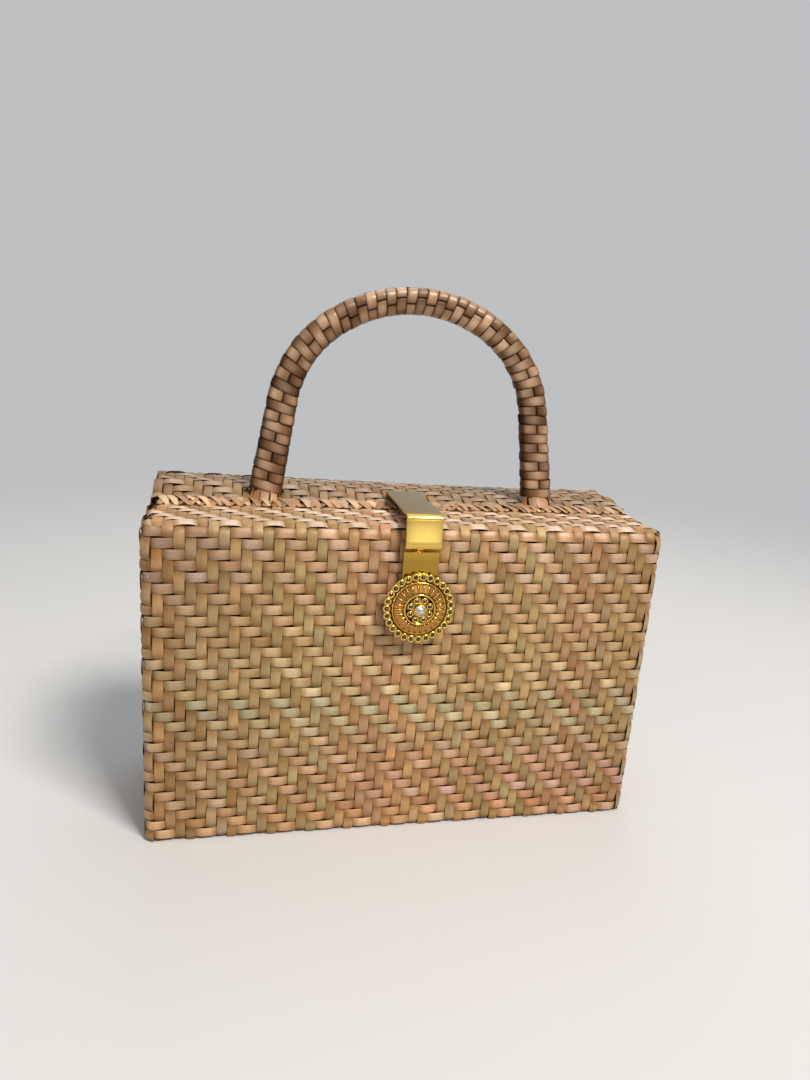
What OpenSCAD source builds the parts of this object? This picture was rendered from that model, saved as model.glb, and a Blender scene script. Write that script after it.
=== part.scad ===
// Woven straw box bag. A twill basket body is closed by a half lid that turns on a cane rod at the back.
// The lid carries an arched straw handle and a metal strap with a medallion, held to the front by a magnet.
// Millimetres, +Z up, front towards -Y, +X to the right, underside on z = 0.

/* [Body] */
// Width over the weave
body_width = 265; // [230:5:300]
// Depth over the weave
body_depth = 88; // [80:2:104]
// Height of the front ledge
body_height = 168; // [140:2:190]
// Bend from the front wall to the ledge
edge_round = 7; // [4:0.5:9]
// Bevel of the upright corners
corner_bevel = 4; // [2:0.5:6]

/* [Weave] */
// Width of one level straw strip
strip_pitch = 5.5; // [5:0.1:7]
// Width of one upright straw strip
warp_pitch = 5.1; // [4.6:0.1:6.6]
// Crown of a strip above the mat
float_rise = 0.8; // [0.4:0.1:1]
// Mat thickness under the crowns
mat_thickness = 2; // [1.6:0.1:2.6]

/* [Shell] */
// Card stiffener
board_thickness = 2; // [1.2:0.1:3]
// Cloth lining
lining_thickness = 0.8; // [0.5:0.1:1.2]
// Woven bottom
base_thickness = 2; // [1.5:0.1:3]

/* [Lid] */
// Depth of the lid from its folded front edge to the back
lid_depth = 49; // [42:1:54]
// Lap of the lid over the ledge
ledge_lap = 8; // [6:0.5:10]
// Card of the lid
lid_board_thickness = 2; // [1.6:0.1:2.6]
// Mat of the lid under the crowns
lid_mat_thickness = 1.4; // [1:0.1:2]
// Folded strip ends along the lid's front edge
braid_depth = 6; // [4:0.5:8]
// Gap between the shut lid and the rim
lid_gap = 0.3; // [0.2:0.05:0.5]
// Cane rod of the hinge
rod_radius = 1.6; // [1.2:0.1:2]
// Play of the rod in the body's loops
rod_play = 0.1; // [0.05:0.05:0.3]
// Straw bound round the rod on the lid's side
sleeve_wall = 0.4; // [0.3:0.1:0.8]
// Straw of the loops on the body's side
loop_wall = 1; // [0.7:0.1:1.4]
// Width of one loop
loop_width = 8; // [5:0.5:12]
// Distance from loop to loop
loop_spacing = 62; // [45:1:66]
// Depth of a loop's stem in the back wall
loop_drop = 12; // [8:1:20]
// Depth of the binding's tails beside the lid's card
tail_depth = 12; // [8:1:16]

/* [Handle] */
// Distance between the centres of the handle's feet
handle_span = 152; // [120:2:170]
// Height of the handle's middle line above the lid
handle_rise = 103; // [80:1:115]
// Lean of each leg towards the middle, in degrees
leg_lean = 9; // [2:0.5:10]
// Radius of the shoulders
shoulder_radius = 60; // [50:1:70]
// Half angle of the flatter arc on top, in degrees
crown_angle = 37; // [25:1:50]
// Thickness across the arch at the top
handle_width = 13.2; // [11:0.2:15]
// Thickness across the arch at the feet
foot_width = 17.2; // [13:0.2:18]
// Depth of the handle from front to back
handle_depth = 10.6; // [9:0.2:12]
// Cane core of the handle
core_radius = 2.5; // [2:0.1:3]
// Length along the handle of one full wrap and the pair of half wraps beside it
wrap_pitch = 9.8; // [8:0.2:16]

/* [Clasp] */
// Width of the metal strap
strap_width = 18.2; // [14:0.2:24]
// Thickness of the metal strap
strap_thickness = 1.2; // [0.8:0.1:1.6]
// Inner bend at the front edge
strap_bend = 2.6; // [1.5:0.1:5]
// Flat below that bend
strap_flat = 12.5; // [8:0.5:16]
// Height over which the strap steps in
strap_fall = 5; // [3:0.5:8]
// Step of the strap towards the front wall
strap_step = 1.9; // [0.5:0.1:3]
// Rise of the strap above the lid's weave
strap_lift = 1.5; // [1:0.1:3]
// Riser of the strap behind the folded edge
riser_inset = 5; // [3:0.5:8]
// Diameter of the medallion over its bead settings
medallion_diameter = 36.6; // [32:0.2:42]
// Centre of the medallion below the ledge
medallion_drop = 40; // [34:1:50]
// Stones around the rim
rim_count = 27; // [24:1:30]
// Radial baguettes
baguette_count = 26; // [20:1:28]
// Diameter of the magnet
magnet_diameter = 14; // [10:0.5:16]
// Thickness of the magnet
magnet_thickness = 2; // [1.4:0.1:3]
// Gap between the magnet and its catch
magnet_gap = 0.3; // [0.2:0.05:0.5]
// Thickness of the steel catch
catch_thickness = 1.4; // [1.2:0.1:2]
// Tab of the strap inside the lid
tab_length = 16; // [12:0.5:20]

/* [Hidden] */
$fn = 48;

// Weave planes and counts
half_x = body_width / 2 - float_rise;
half_y = body_depth / 2 - float_rise;
rim_z = body_height - float_rise;
rows = round((rim_z - base_thickness) / strip_pitch);
row_h = (rim_z - base_thickness) / rows;
cols = round(body_width / warp_pitch);
col_w = body_width / cols;
end_cols = round(body_depth / warp_pitch);
end_w = body_depth / end_cols;

// Lid planes
lid_front = body_depth / 2 - lid_depth;
mouth_y = lid_front + ledge_lap;
lid_z = rim_z + lid_gap;
board_z = lid_z + lining_thickness;
lid_mat_z = board_z + lid_board_thickness;
lid_top = lid_mat_z + lid_mat_thickness;
plate_front = lid_front + braid_depth;

// Hinge axis
sleeve_r = rod_radius + sleeve_wall;
loop_r = rod_radius + rod_play + loop_wall;
axis_z = lid_z + sleeve_r;
axis_y = body_depth / 2 - sleeve_r - 0.1;
plate_back = axis_y - sleeve_r - 0.1;
tail_front = plate_back - tail_depth;
loop_side = 0.5;
loop_x = [for (k = [-1.5:1:1.5]) k * loop_spacing];
sleeve_end = half_x - lid_mat_thickness - 1;

// Ledge rows stop short of the lid's front edge
ledge_y0 = -half_y + edge_round;
ledge_len = lid_front - 0.4 - ledge_y0;
ledge_rows = round(ledge_len / strip_pitch);
ledge_h = ledge_len / ledge_rows;
lid_len = plate_back - plate_front;
lid_rows = round(lid_len / strip_pitch);
lid_h = lid_len / lid_rows;

// Handle path: leaning leg, shoulder arc and crown arc, each tangent to the next
handle_y = plate_front + handle_depth / 2 + 0.3;
foot_x = handle_span / 2;
reach_x = foot_x - shoulder_radius * cos(leg_lean);
reach_z = handle_rise - shoulder_radius * (1 - sin(leg_lean));
reach_det = sin(crown_angle) * cos(leg_lean) - (1 - cos(crown_angle)) * sin(leg_lean);
crown_more = (reach_x * cos(leg_lean) - reach_z * sin(leg_lean)) / reach_det;
leg_length = (reach_z * sin(crown_angle) - reach_x * (1 - cos(crown_angle))) / reach_det;
crown_radius = shoulder_radius + crown_more;
crown_z = lid_top + handle_rise - crown_radius;
shoulder_x = crown_more * sin(crown_angle);
shoulder_z = crown_z + crown_more * cos(crown_angle);
shoulder_angle = 90 - crown_angle - leg_lean;
wrap_rise = 0.7;
joint_gap = 0.3;
core_down = (lid_top - board_z - core_radius * sin(leg_lean)) / cos(leg_lean);

// Clasp planes, counted from the front wall outwards
medallion_z = body_height - medallion_drop;
catch_y = -half_y;
magnet_y = catch_y - catch_thickness - magnet_gap;
strap_back_y = magnet_y - magnet_thickness;
setting_y = strap_back_y - strap_thickness;
strap_z = lid_top + float_rise + strap_lift;
riser_y = plate_front + riser_inset;

// Plan of the body, an oblong with bevelled corners, grown by e
function plan(e) = let (a = half_x + e, b = half_y + e, c = corner_bevel) [
  [-a + c, -b], [a - c, -b], [a, -b + c], [a, b - c],
  [a - c, b], [-a + c, b], [-a, b - c], [-a, -b + c]
];

// Woven rows as a stack of rings that swell to a crown at the middle of each strip
module wall_stack() {
  n = 2 * rows;
  polyhedron(
    points = [for (i = [0:n]) for (p = plan(i % 2 == 0 ? 0 : float_rise))
      [p[0], p[1], base_thickness + i * row_h / 2]],
    faces = concat(
      [[for (k = [0:7]) k]],
      [[for (k = [7:-1:0]) n * 8 + k]],
      [for (i = [0:n - 1]) for (k = [0:7])
        [i * 8 + k, (i + 1) * 8 + k, (i + 1) * 8 + (k + 1) % 8, i * 8 + (k + 1) % 8]]));
}

// Crowned rows lying flat, the first at y = 0, each row h deep
module flat_rows(width, n, h, bottom) {
  rotate([90, 0, 90])
    linear_extrude(height = width, center = true)
      polygon(concat(
        [[0, -bottom]],
        [[n * h, -bottom]],
        [for (i = [n - 1:-1:0]) each [[(i + 1) * h, 0], [(i + 0.5) * h, float_rise]]],
        [[0, 0]]));
}

// Two-over-two twill: stepped bands of cells where the upright strips lie over the crowned rows.
// Each row up, the bands step one strip to the left; start is the strip and row count before this field.
module twill(nc, nr, cw, rh, start, margin) {
  for (k = [2 - start % 4 - 4:4:nc + nr])
    linear_extrude(height = float_rise + 1)
      intersection() {
        polygon(concat(
          [for (r = [0:nr - 1]) each [[(k - r) * cw, r * rh], [(k - r) * cw, (r + 1) * rh]]],
          [for (r = [nr - 1:-1:0]) each [[(k - r + 2) * cw, (r + 1) * rh], [(k - r + 2) * cw, r * rh]]]));
        translate([margin, 0])
          square([nc * cw - 2 * margin, nr * rh]);
      }
}

// Section of the front bend: what lies outside an arc of four flats
module front_bend() {
  cy = -half_y + edge_round;
  cz = rim_z - edge_round;
  rotate([90, 0, 90])
    linear_extrude(height = body_width + 20, center = true)
      polygon(concat(
        [[-half_y - 5, cz], [-half_y, cz]],
        [for (a = [157.5:-22.5:112.5]) [cy + edge_round * cos(a), cz + edge_round * sin(a)]],
        [[cy, rim_z], [cy, rim_z + 5], [-half_y - 5, rim_z + 5]]));
}

// Woven bottom with the body's bevelled plan
module base_mat() {
  color("#b98d58")
    linear_extrude(height = base_thickness)
      polygon(plan(0));
}

// Front, back, ends and front ledge, woven as one basket
module woven_body() {
  inner_x = half_x - mat_thickness;
  inner_y = half_y - mat_thickness;
  side = float_rise + corner_bevel;
  color("#c9a066")
    difference() {
      union() {
        wall_stack();
        translate([0, ledge_y0, rim_z])
          flat_rows(2 * half_x, ledge_rows, ledge_h, mat_thickness / 2);
      }
      translate([-body_width / 2, -half_y, base_thickness])
        rotate([90, 0, 0])
          twill(cols, rows, col_w, row_h, 0, side);
      translate([half_x, -body_depth / 2, base_thickness])
        rotate([90, 0, 90])
          twill(end_cols, rows, end_w, row_h, cols, side);
      translate([body_width / 2, half_y, base_thickness])
        rotate([90, 0, 180])
          twill(cols, rows, col_w, row_h, cols + end_cols, side);
      translate([-half_x, body_depth / 2, base_thickness])
        rotate([90, 0, -90])
          twill(end_cols, rows, end_w, row_h, 2 * cols + end_cols, side);
      translate([-body_width / 2, ledge_y0, rim_z])
        twill(cols, ledge_rows, col_w, ledge_h, rows + 2, side);
      translate([-inner_x, -inner_y, base_thickness - 1])
        cube([2 * inner_x, 2 * inner_y, rim_z - mat_thickness - base_thickness + 1]);
      translate([-inner_x, mouth_y, rim_z - mat_thickness - 1])
        cube([2 * inner_x, inner_y - mouth_y, 2 * mat_thickness + 1]);
      front_bend();
      translate([0, -half_y, medallion_z])
        rotate([90, 15, 0])
          cylinder(r = (magnet_diameter / 2 + 0.6) / cos(15), h = float_rise + 1, $fn = 12);
      for (x = loop_x)
        translate([x - loop_width / 2, inner_y - 0.01, rim_z - loop_drop])
          cube([loop_width, mat_thickness + float_rise + 1, loop_drop + 1]);
    }
}

// Tray with a front ledge: outer half sizes x and y, bottom and top planes, one wall thickness
module ledge_tray(x, y, z0, z1, wall) {
  difference() {
    translate([-x, -y, z0])
      cube([2 * x, 2 * y, z1 - z0]);
    translate([-x + wall, -y + wall, z0 + wall])
      cube([2 * (x - wall), 2 * (y - wall), z1 - z0 - 2 * wall]);
    translate([-x + wall, mouth_y, z1 - wall - 1])
      cube([2 * (x - wall), y - wall - mouth_y, wall + 2]);
  }
}

// Card box that keeps the basket square
module inner_box() {
  color("#8a7355")
    ledge_tray(half_x - mat_thickness, half_y - mat_thickness,
      base_thickness, rim_z - mat_thickness, board_thickness);
}

// Cloth lining inside the card box
module body_lining() {
  t = mat_thickness + board_thickness;
  color("#d8c8a8")
    ledge_tray(half_x - t, half_y - t,
      base_thickness + board_thickness, rim_z - t, lining_thickness);
}

// Straw lashings let into the back wall, each with an eye for the rod
module hinge_loops() {
  color("#a87f4c")
    for (x = loop_x)
      translate([x, 0, 0])
        rotate([90, 0, 90])
          linear_extrude(height = loop_width, center = true)
            difference() {
              union() {
                translate([axis_y, axis_z])
                  circle(r = loop_r);
                translate([half_y - mat_thickness, rim_z - loop_drop])
                  square([mat_thickness, loop_drop + axis_z - rim_z]);
              }
              translate([axis_y, axis_z])
                circle(r = rod_radius + rod_play);
            }
}

// Steel catch let into the weave behind the medallion
module catch_plate() {
  color("#c9b27a")
    translate([0, catch_y, medallion_z])
      rotate([90, 0, 0])
        cylinder(r = magnet_diameter / 2 + 0.5, h = catch_thickness);
}

// Notches that let the lid's layers clear the body's loops
module loop_notches() {
  for (x = loop_x)
    translate([x - loop_width / 2 - loop_side, axis_y - loop_r - 0.6, lid_z - 1])
      cube([loop_width + 2 * loop_side, 2 * loop_r + sleeve_r, 2 * (lid_top - lid_z)]);
}

// Twelve-sided holes for the handle's core
module core_holes() {
  for (s = [-1, 1])
    translate([s * foot_x, handle_y, lid_top])
      rotate([0, -s * leg_lean, 0])
        cylinder(r = core_radius / cos(15), h = 3 * (lid_top - lid_z), center = true, $fn = 12);
}

// Woven top of the lid, turned down over both ends, flat where the handle stands
module lid_mat() {
  pad = foot_width + 2 * strip_pitch;
  color("#c9a066")
    difference() {
      union() {
        translate([0, plate_front, lid_top])
          flat_rows(2 * half_x, lid_rows, lid_h, lid_mat_thickness);
        for (s = [-1, 1])
          translate([s * (half_x - lid_mat_thickness / 2), plate_front + lid_len / 2, lid_z])
            linear_extrude(height = lid_top - lid_z)
              square([lid_mat_thickness, lid_len], center = true);
      }
      translate([-body_width / 2, plate_front, lid_top])
        twill(cols, lid_rows, col_w, lid_h, rows + ledge_rows + 3, float_rise + corner_bevel);
      for (s = [-1, 1])
        translate([s * foot_x - pad / 2, plate_front - 1, lid_top])
          cube([pad, handle_depth + strip_pitch, float_rise + 1]);
      translate([-strap_width / 2 - 0.2, riser_y - 0.2, lid_mat_z - 1])
        cube([strap_width + 0.4, strap_thickness + 1.1, lid_mat_thickness + float_rise + 2]);
      core_holes();
      loop_notches();
    }
}

// Card inside the lid, with a pocket for the strap's tab
module lid_board() {
  x = half_x - lid_mat_thickness;
  color("#8a7355")
    difference() {
      translate([-x, plate_front, board_z])
        cube([2 * x, tail_front - plate_front, lid_board_thickness]);
      translate([-strap_width / 2, riser_y, lid_mat_z - strap_thickness])
        cube([strap_width, tab_length, strap_thickness + 1]);
      core_holes();
      strap_pins();
    }
}

// Cloth under the lid
module lid_lining() {
  x = half_x - lid_mat_thickness;
  color("#d8c8a8")
    difference() {
      translate([-x, plate_front, lid_z])
        cube([2 * x, lid_len, lining_thickness]);
      loop_notches();
    }
}

// Strip ends folded to points along the lid's front edge, sloping down to the ledge
module lid_braid() {
  notch = braid_depth / 3;
  tip = lining_thickness + strip_pitch / 10;
  step = 2 * half_x / cols;
  color("#b98d58")
    intersection() {
      translate([0, 0, lid_z])
        linear_extrude(height = lid_top - lid_z + float_rise)
          polygon(concat(
            [[half_x, plate_front], [-half_x, plate_front]],
            [for (i = [0:cols - 1]) each [
              [-half_x + i * step, lid_front + notch],
              [-half_x + (i + 0.6) * step, lid_front]]],
            [[half_x, lid_front + notch]]));
      rotate([90, 0, 90])
        linear_extrude(height = body_width, center = true)
          polygon([
            [lid_front, lid_z], [plate_front, lid_z], [plate_front, lid_top + float_rise],
            [plate_front - notch, lid_top + float_rise], [lid_front, lid_z + tip]
          ]);
    }
}

// Binding of the lid's back edge: tubes round the rod with tails beside the card
module hinge_sleeves() {
  tail_h = lid_board_thickness;
  color("#a87f4c")
    difference() {
      rotate([90, 0, 90])
        linear_extrude(height = 2 * sleeve_end, center = true)
          difference() {
            union() {
              translate([axis_y, axis_z])
                circle(r = sleeve_r);
              translate([tail_front, board_z])
                square([axis_y - rod_radius - tail_front, tail_h]);
            }
            translate([axis_y, axis_z])
              circle(r = rod_radius);
          }
      loop_notches();
    }
}

// Cane rod that the lid turns on
module hinge_rod() {
  color("#9c7a48")
    translate([0, axis_y, axis_z])
      rotate([0, 90, 0])
        cylinder(r = rod_radius, h = 2 * sleeve_end, center = true);
}

// Piece of the crown arc from angle a over da
module crown_piece(a, da) {
  translate([0, handle_y, crown_z])
    rotate([90, 0, 0])
      rotate([0, 0, a])
        rotate_extrude(angle = da)
          translate([crown_radius, 0])
            children();
}

// Piece of the shoulder arc on side s, from angle a over da, counted up from the leg
module shoulder_piece(s, a, da) {
  translate([s * shoulder_x, handle_y, shoulder_z])
    rotate([90, 0, 0])
      rotate([0, 0, s > 0 ? leg_lean + a : 180 - leg_lean - a - da])
        rotate_extrude(angle = da)
          translate([shoulder_radius, 0])
            children();
}

// Piece of the leaning leg on side s, from length t over dt
module leg_piece(s, t, dt) {
  translate([s * foot_x, handle_y, lid_top])
    rotate([0, -s * leg_lean, 0])
      translate([0, 0, t])
        linear_extrude(height = dt)
          children();
}

// Short straight piece over the joint of shoulder and crown on side s
module crown_joint(s, h) {
  translate([s * crown_radius * sin(crown_angle), handle_y, crown_z + crown_radius * cos(crown_angle)])
    rotate([0, -s * (90 - crown_angle), 0])
      linear_extrude(height = h, center = true)
        children();
}

// Handle section with bevelled corners; groove parts the front and back faces into two strips
module handle_section(w, d, groove) {
  b = 0.24 * d;
  polygon([
    [w / 2, -d / 2 + b], [w / 2, d / 2 - b], [w / 2 - b, d / 2],
    [0.7, d / 2], [0, d / 2 - groove], [-0.7, d / 2], [-w / 2 + b, d / 2],
    [-w / 2, d / 2 - b], [-w / 2, -d / 2 + b], [-w / 2 + b, -d / 2],
    [-0.7, -d / 2], [0, -d / 2 + groove], [0.7, -d / 2], [w / 2 - b, -d / 2]
  ]);
}

// Section of a full wrap
module wrap_section(w, d) {
  b = 0.26 * d;
  polygon([
    [w / 2, -d / 2 + b], [w / 2, d / 2 - b], [w / 2 - b, d / 2], [-w / 2 + b, d / 2],
    [-w / 2, d / 2 - b], [-w / 2, -d / 2 + b], [-w / 2 + b, -d / 2], [w / 2 - b, -d / 2]
  ]);
}

// Thickness of the plait, from the crown (0) to the feet (1)
function wide(t) = handle_width + (foot_width - handle_width) * t;

// Space of the core: arcs and legs that meet inside slightly larger collars
module core_sweep() {
  collar = core_radius + 0.2;
  crown_piece(90 - crown_angle + joint_gap, 2 * (crown_angle - joint_gap))
    circle(r = core_radius);
  for (s = [-1, 1]) {
    shoulder_piece(s, joint_gap, shoulder_angle - 2 * joint_gap)
      circle(r = core_radius);
    leg_piece(s, -core_down, leg_length + core_down)
      circle(r = core_radius);
    crown_joint(s, 2)
      circle(r = collar);
    leg_piece(s, leg_length - 1, 2)
      circle(r = collar);
  }
}

// Cane core of the handle, its ends let down through the lid's mat and card
module handle_core() {
  color("#9c7a48")
    core_sweep();
}

// Straw plait round the core: pairs of half wraps between raised full wraps, wider towards the feet
module handle_wrap() {
  d = handle_depth - 2 * wrap_rise;
  thin = 2 * wrap_rise;
  nc = round(2 * crown_angle * PI / 180 * crown_radius / wrap_pitch);
  ns = round(shoulder_angle * PI / 180 * shoulder_radius / wrap_pitch);
  nl = round(leg_length / wrap_pitch);
  dc = 2 * crown_angle / nc;
  ds = shoulder_angle / ns;
  dl = leg_length / nl;
  color("#a8804e")
    difference() {
      union() {
        crown_piece(90 - crown_angle + joint_gap, 2 * (crown_angle - joint_gap))
          handle_section(wide(0) - thin, d, wrap_rise);
        for (i = [1:nc - 1])
          crown_piece(90 - crown_angle + (i - 0.25) * dc, dc / 2)
            wrap_section(wide(0), handle_depth);
        for (s = [-1, 1]) {
          crown_joint(s, wrap_pitch / 2)
            wrap_section(wide(0.08), handle_depth);
          shoulder_piece(s, joint_gap, shoulder_angle - 2 * joint_gap)
            handle_section(wide(0.25) - thin, d, wrap_rise);
          for (i = [1:ns - 1])
            shoulder_piece(s, (i - 0.25) * ds, ds / 2)
              wrap_section(wide(0.5 * (1 - i / ns)), handle_depth);
          leg_piece(s, leg_length - wrap_pitch / 4, wrap_pitch / 2)
            wrap_section(wide(0.5), handle_depth);
          leg_piece(s, -core_radius, leg_length + core_radius)
            handle_section(wide(0.6) - thin, d, wrap_rise);
          for (i = [1:nl - 1])
            leg_piece(s, (i - 0.25) * dl, dl / 2)
              wrap_section(wide(1 - 0.5 * i / nl), handle_depth);
        }
      }
      core_sweep();
      translate([-body_width / 2, handle_y - handle_depth, lid_top - 2 * handle_depth])
        cube([body_width, 2 * handle_depth, 2 * handle_depth]);
    }
}

// Strip ends splayed out at each foot of the handle
module foot_strips() {
  reach = strip_pitch;
  half = strip_pitch / 5;
  thick = strip_pitch / 8;
  start = (wide(0.6) - 2 * wrap_rise) / 2 / cos(leg_lean) + thick * tan(leg_lean) + 0.05;
  color("#b98d58")
    for (s = [-1, 1], t = [-1, 1], k = [-1, 0, 1])
      translate([s * foot_x + t * start, handle_y + k * 0.55 * strip_pitch, lid_top])
        linear_extrude(height = thick)
          polygon([
            [0, -half], [t * reach, (k * 0.8 - 1) * half], [t * reach, (k * 0.8 + 1) * half], [0, half]
          ]);
}

// Points of an arc in (y, z)
function arc(cy, cz, r, a0, a1, n) = [for (i = [0:n])
  let (a = a0 + (a1 - a0) * i / n) [cy + r * cos(a), cz + r * sin(a)]];

// Middle line of the strap: tab, riser, run over the ledge, bend, flat, step inwards and drop
function strap_path() = let (
    h = strap_thickness / 2,
    rr = strap_thickness + 0.2,
    rf = strap_bend + h,
    ry = riser_y + h,
    zt = strap_z + h,
    zb = lid_mat_z - h,
    fy = strap_back_y - h,
    oy = fy - strap_step,
    z1 = zt - rf,
    z2 = z1 - strap_flat
  ) concat(
    [[riser_y + tab_length, zb]],
    arc(ry + rr, zb + rr, rr, 270, 180, 4),
    arc(ry - rr, zt - rr, rr, 0, 90, 5),
    arc(oy + rf, z1, rf, 90, 180, 6),
    [for (i = [0:8]) let (t = i / 8) [oy + strap_step * (1 - cos(180 * t)) / 2, z2 - strap_fall * t]],
    [[fy, medallion_z - magnet_diameter / 2]]
  );

// Metal strap, one bent strip with holes for its two rivets
module strap() {
  p = strap_path();
  n = len(p);
  h = strap_thickness / 2;
  d = [for (i = [0:n - 1]) let (v = p[min(i + 1, n - 1)] - p[max(i - 1, 0)]) v / norm(v)];
  color("#d9b45a")
    difference() {
      rotate([90, 0, 90])
        linear_extrude(height = strap_width, center = true)
          polygon(concat(
            [for (i = [0:n - 1]) p[i] + h * [-d[i][1], d[i][0]]],
            [for (i = [n - 1:-1:0]) p[i] - h * [-d[i][1], d[i][0]]]));
      strap_pins();
    }
}

// Two pins through the strap's tab and the lid's card
module strap_pins() {
  for (s = [-1, 1])
    translate([s * strap_width / 4, riser_y + tab_length - 5, board_z])
      cylinder(r = 1.3, h = lid_board_thickness);
}

// Flush rivets that hold the strap's tab
module strap_rivets() {
  color("#b8923f")
    strap_pins();
}

// Disc magnet on the back of the strap's lower end
module clasp_magnet() {
  color("#9a9a9a")
    translate([0, strap_back_y + magnet_thickness, medallion_z])
      rotate([90, 0, 0])
        cylinder(r = magnet_diameter / 2, h = magnet_thickness);
}

// Medallion sizes, counted forward from its back plane, in shares of its diameter
unit = medallion_diameter / 36;
cup_r = PI * (medallion_diameter / 2 - 1.9 * unit) / rim_count * 1.03;
cup_ring = medallion_diameter / 2 - cup_r;
cone_out = cup_ring - 2.7 * unit;
cone_in = 7.8 * unit;
cone_low = 2.2 * unit;
cone_high = 4.2 * unit;
groove_z = 1.2 * unit;
cone_tilt = atan((cone_high - cone_low) / (cone_out - cone_in));

// Places its children on the medallion: z runs forward out of the front wall
module on_medallion() {
  translate([0, setting_y, medallion_z])
    rotate([90, 0, 0])
      children();
}

// Round stone with a plain girdle and a bevelled crown around a flat table
module round_stone(r, seat, crown) {
  rotate_extrude()
    polygon([[0, 0], [r, 0], [r, seat], [r * 0.62, seat + crown], [0, seat + crown]]);
}

// Round stones in the beads of the rim
module rim_set() {
  for (i = [0:rim_count - 1])
    rotate([0, 0, (i + 0.5) * 360 / rim_count])
      translate([cup_ring, 0, 1.5 * unit])
        round_stone(cup_r * 0.68, 1.1 * unit, 0.6 * unit);
}

// Tapered baguettes, laid side by side on the cone
module baguette_set() {
  slope = (cone_out - cone_in) / cos(cone_tilt);
  mid = (cone_out + cone_in) / 2;
  taper = 2 * PI / baguette_count * 0.86 / 2;
  for (i = [0:baguette_count - 1])
    rotate([0, 0, i * 360 / baguette_count])
      translate([mid, 0, (cone_low + cone_high) / 2])
        rotate([0, cone_tilt, 0])
          translate([0, 0, -0.6 * unit])
            linear_extrude(height = 1.3 * unit)
              polygon([
                [-slope * 0.46, -cone_in * taper], [slope * 0.46, -cone_out * taper],
                [slope * 0.46, cone_out * taper], [-slope * 0.46, cone_in * taper]
              ]);
}

// Small round stones on the dome
module ring_set() {
  for (i = [0:7])
    rotate([0, 0, (i + 0.5) * 45])
      translate([4.75 * unit, 0, 4.4 * unit])
        round_stone(1.15 * unit, 0.9 * unit, 0.6 * unit);
}

// Large middle stone
module centre_set() {
  translate([0, 0, 4.9 * unit])
    round_stone(2.7 * unit, unit, 1.2 * unit);
}

// Gold setting: back plate, bead cups, cone for the baguettes, collar and dome
module medallion() {
  color("#d9b45a")
    on_medallion()
      difference() {
        union() {
          rotate_extrude()
            polygon([
              [0, 0], [cup_ring - 0.4 * unit, 0], [cup_ring, 0.5 * unit], [cup_ring, groove_z],
              [cone_out + 0.4 * unit, groove_z], [cone_out + 0.4 * unit, cone_low + 0.3 * unit],
              [cone_out, cone_low + 0.3 * unit], [cone_out, cone_low], [cone_in, cone_high],
              [cone_in, 4.9 * unit], [7 * unit, 4.9 * unit], [6.6 * unit, 4.4 * unit],
              [4.4 * unit, 5.1 * unit], [3.2 * unit, 5.5 * unit], [0, 5.5 * unit]
            ]);
          for (i = [0:rim_count - 1])
            rotate([0, 0, (i + 0.5) * 360 / rim_count])
              translate([cup_ring, 0, 0.3 * unit])
                cylinder(r = cup_r, h = 2.1 * unit);
        }
        rim_set();
        baguette_set();
        ring_set();
        centre_set();
      }
}

// Smoky round stones of the rim
module rim_stones() {
  color("#6d6a66")
    on_medallion()
      rim_set();
}

// Champagne baguettes
module baguette_stones() {
  color("#c8a878")
    on_medallion()
      baguette_set();
}

// Small clear stones round the middle
module ring_stones() {
  color("#b9b4aa")
    on_medallion()
      ring_set();
}

// Clear middle stone
module centre_stone() {
  color("#d6d4cf")
    on_medallion()
      centre_set();
}

base_mat();
woven_body();
inner_box();
body_lining();
hinge_loops();
catch_plate();
lid_mat();
lid_board();
lid_lining();
lid_braid();
hinge_sleeves();
hinge_rod();
handle_core();
handle_wrap();
foot_strips();
strap();
strap_rivets();
clasp_magnet();
medallion();
rim_stones();
baguette_stones();
ring_stones();
centre_stone();
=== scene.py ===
import math

import bpy
import numpy as np
from mathutils import Matrix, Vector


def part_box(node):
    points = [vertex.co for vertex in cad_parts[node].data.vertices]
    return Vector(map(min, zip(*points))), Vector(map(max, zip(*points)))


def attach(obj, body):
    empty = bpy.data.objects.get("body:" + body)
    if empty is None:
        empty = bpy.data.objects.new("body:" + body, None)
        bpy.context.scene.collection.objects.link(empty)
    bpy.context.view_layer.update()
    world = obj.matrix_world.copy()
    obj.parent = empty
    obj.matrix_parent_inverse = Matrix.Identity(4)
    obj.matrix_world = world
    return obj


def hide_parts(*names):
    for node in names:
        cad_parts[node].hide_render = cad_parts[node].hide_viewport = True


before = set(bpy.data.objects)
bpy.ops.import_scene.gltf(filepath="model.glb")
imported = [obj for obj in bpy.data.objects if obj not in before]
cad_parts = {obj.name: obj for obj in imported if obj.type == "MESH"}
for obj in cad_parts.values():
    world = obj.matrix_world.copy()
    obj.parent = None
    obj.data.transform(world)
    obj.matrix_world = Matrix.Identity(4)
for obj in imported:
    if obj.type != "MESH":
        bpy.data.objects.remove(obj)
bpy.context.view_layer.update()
rng = np.random.default_rng(11)
print("stage: frame loaded")


def boxMm(node):
    low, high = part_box(node)
    return np.array(low) * 1000, np.array(high) * 1000


wovenHigh = boxMm("woven_body")[1]
coreHigh = boxMm("handle_core")[1]
lidLow, lidHigh = boxMm("lid_mat")
braidLow, braidHigh = boxMm("lid_braid")
wrapLow, wrapHigh = boxMm("handle_wrap")
strapLow, strapHigh = boxMm("strap")
discLow, discHigh = boxMm("medallion")


def linear(r, g, b):
    # sRGB bytes to the linear values that shaders take
    c = np.array([r, g, b]) / 255
    return np.where(c <= 0.04045, c / 12.92, ((c + 0.055) / 1.055) ** 2.4)


def ease(t):
    # smooth step from 0 to 1
    return t * t * (3 - 2 * t)


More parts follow.
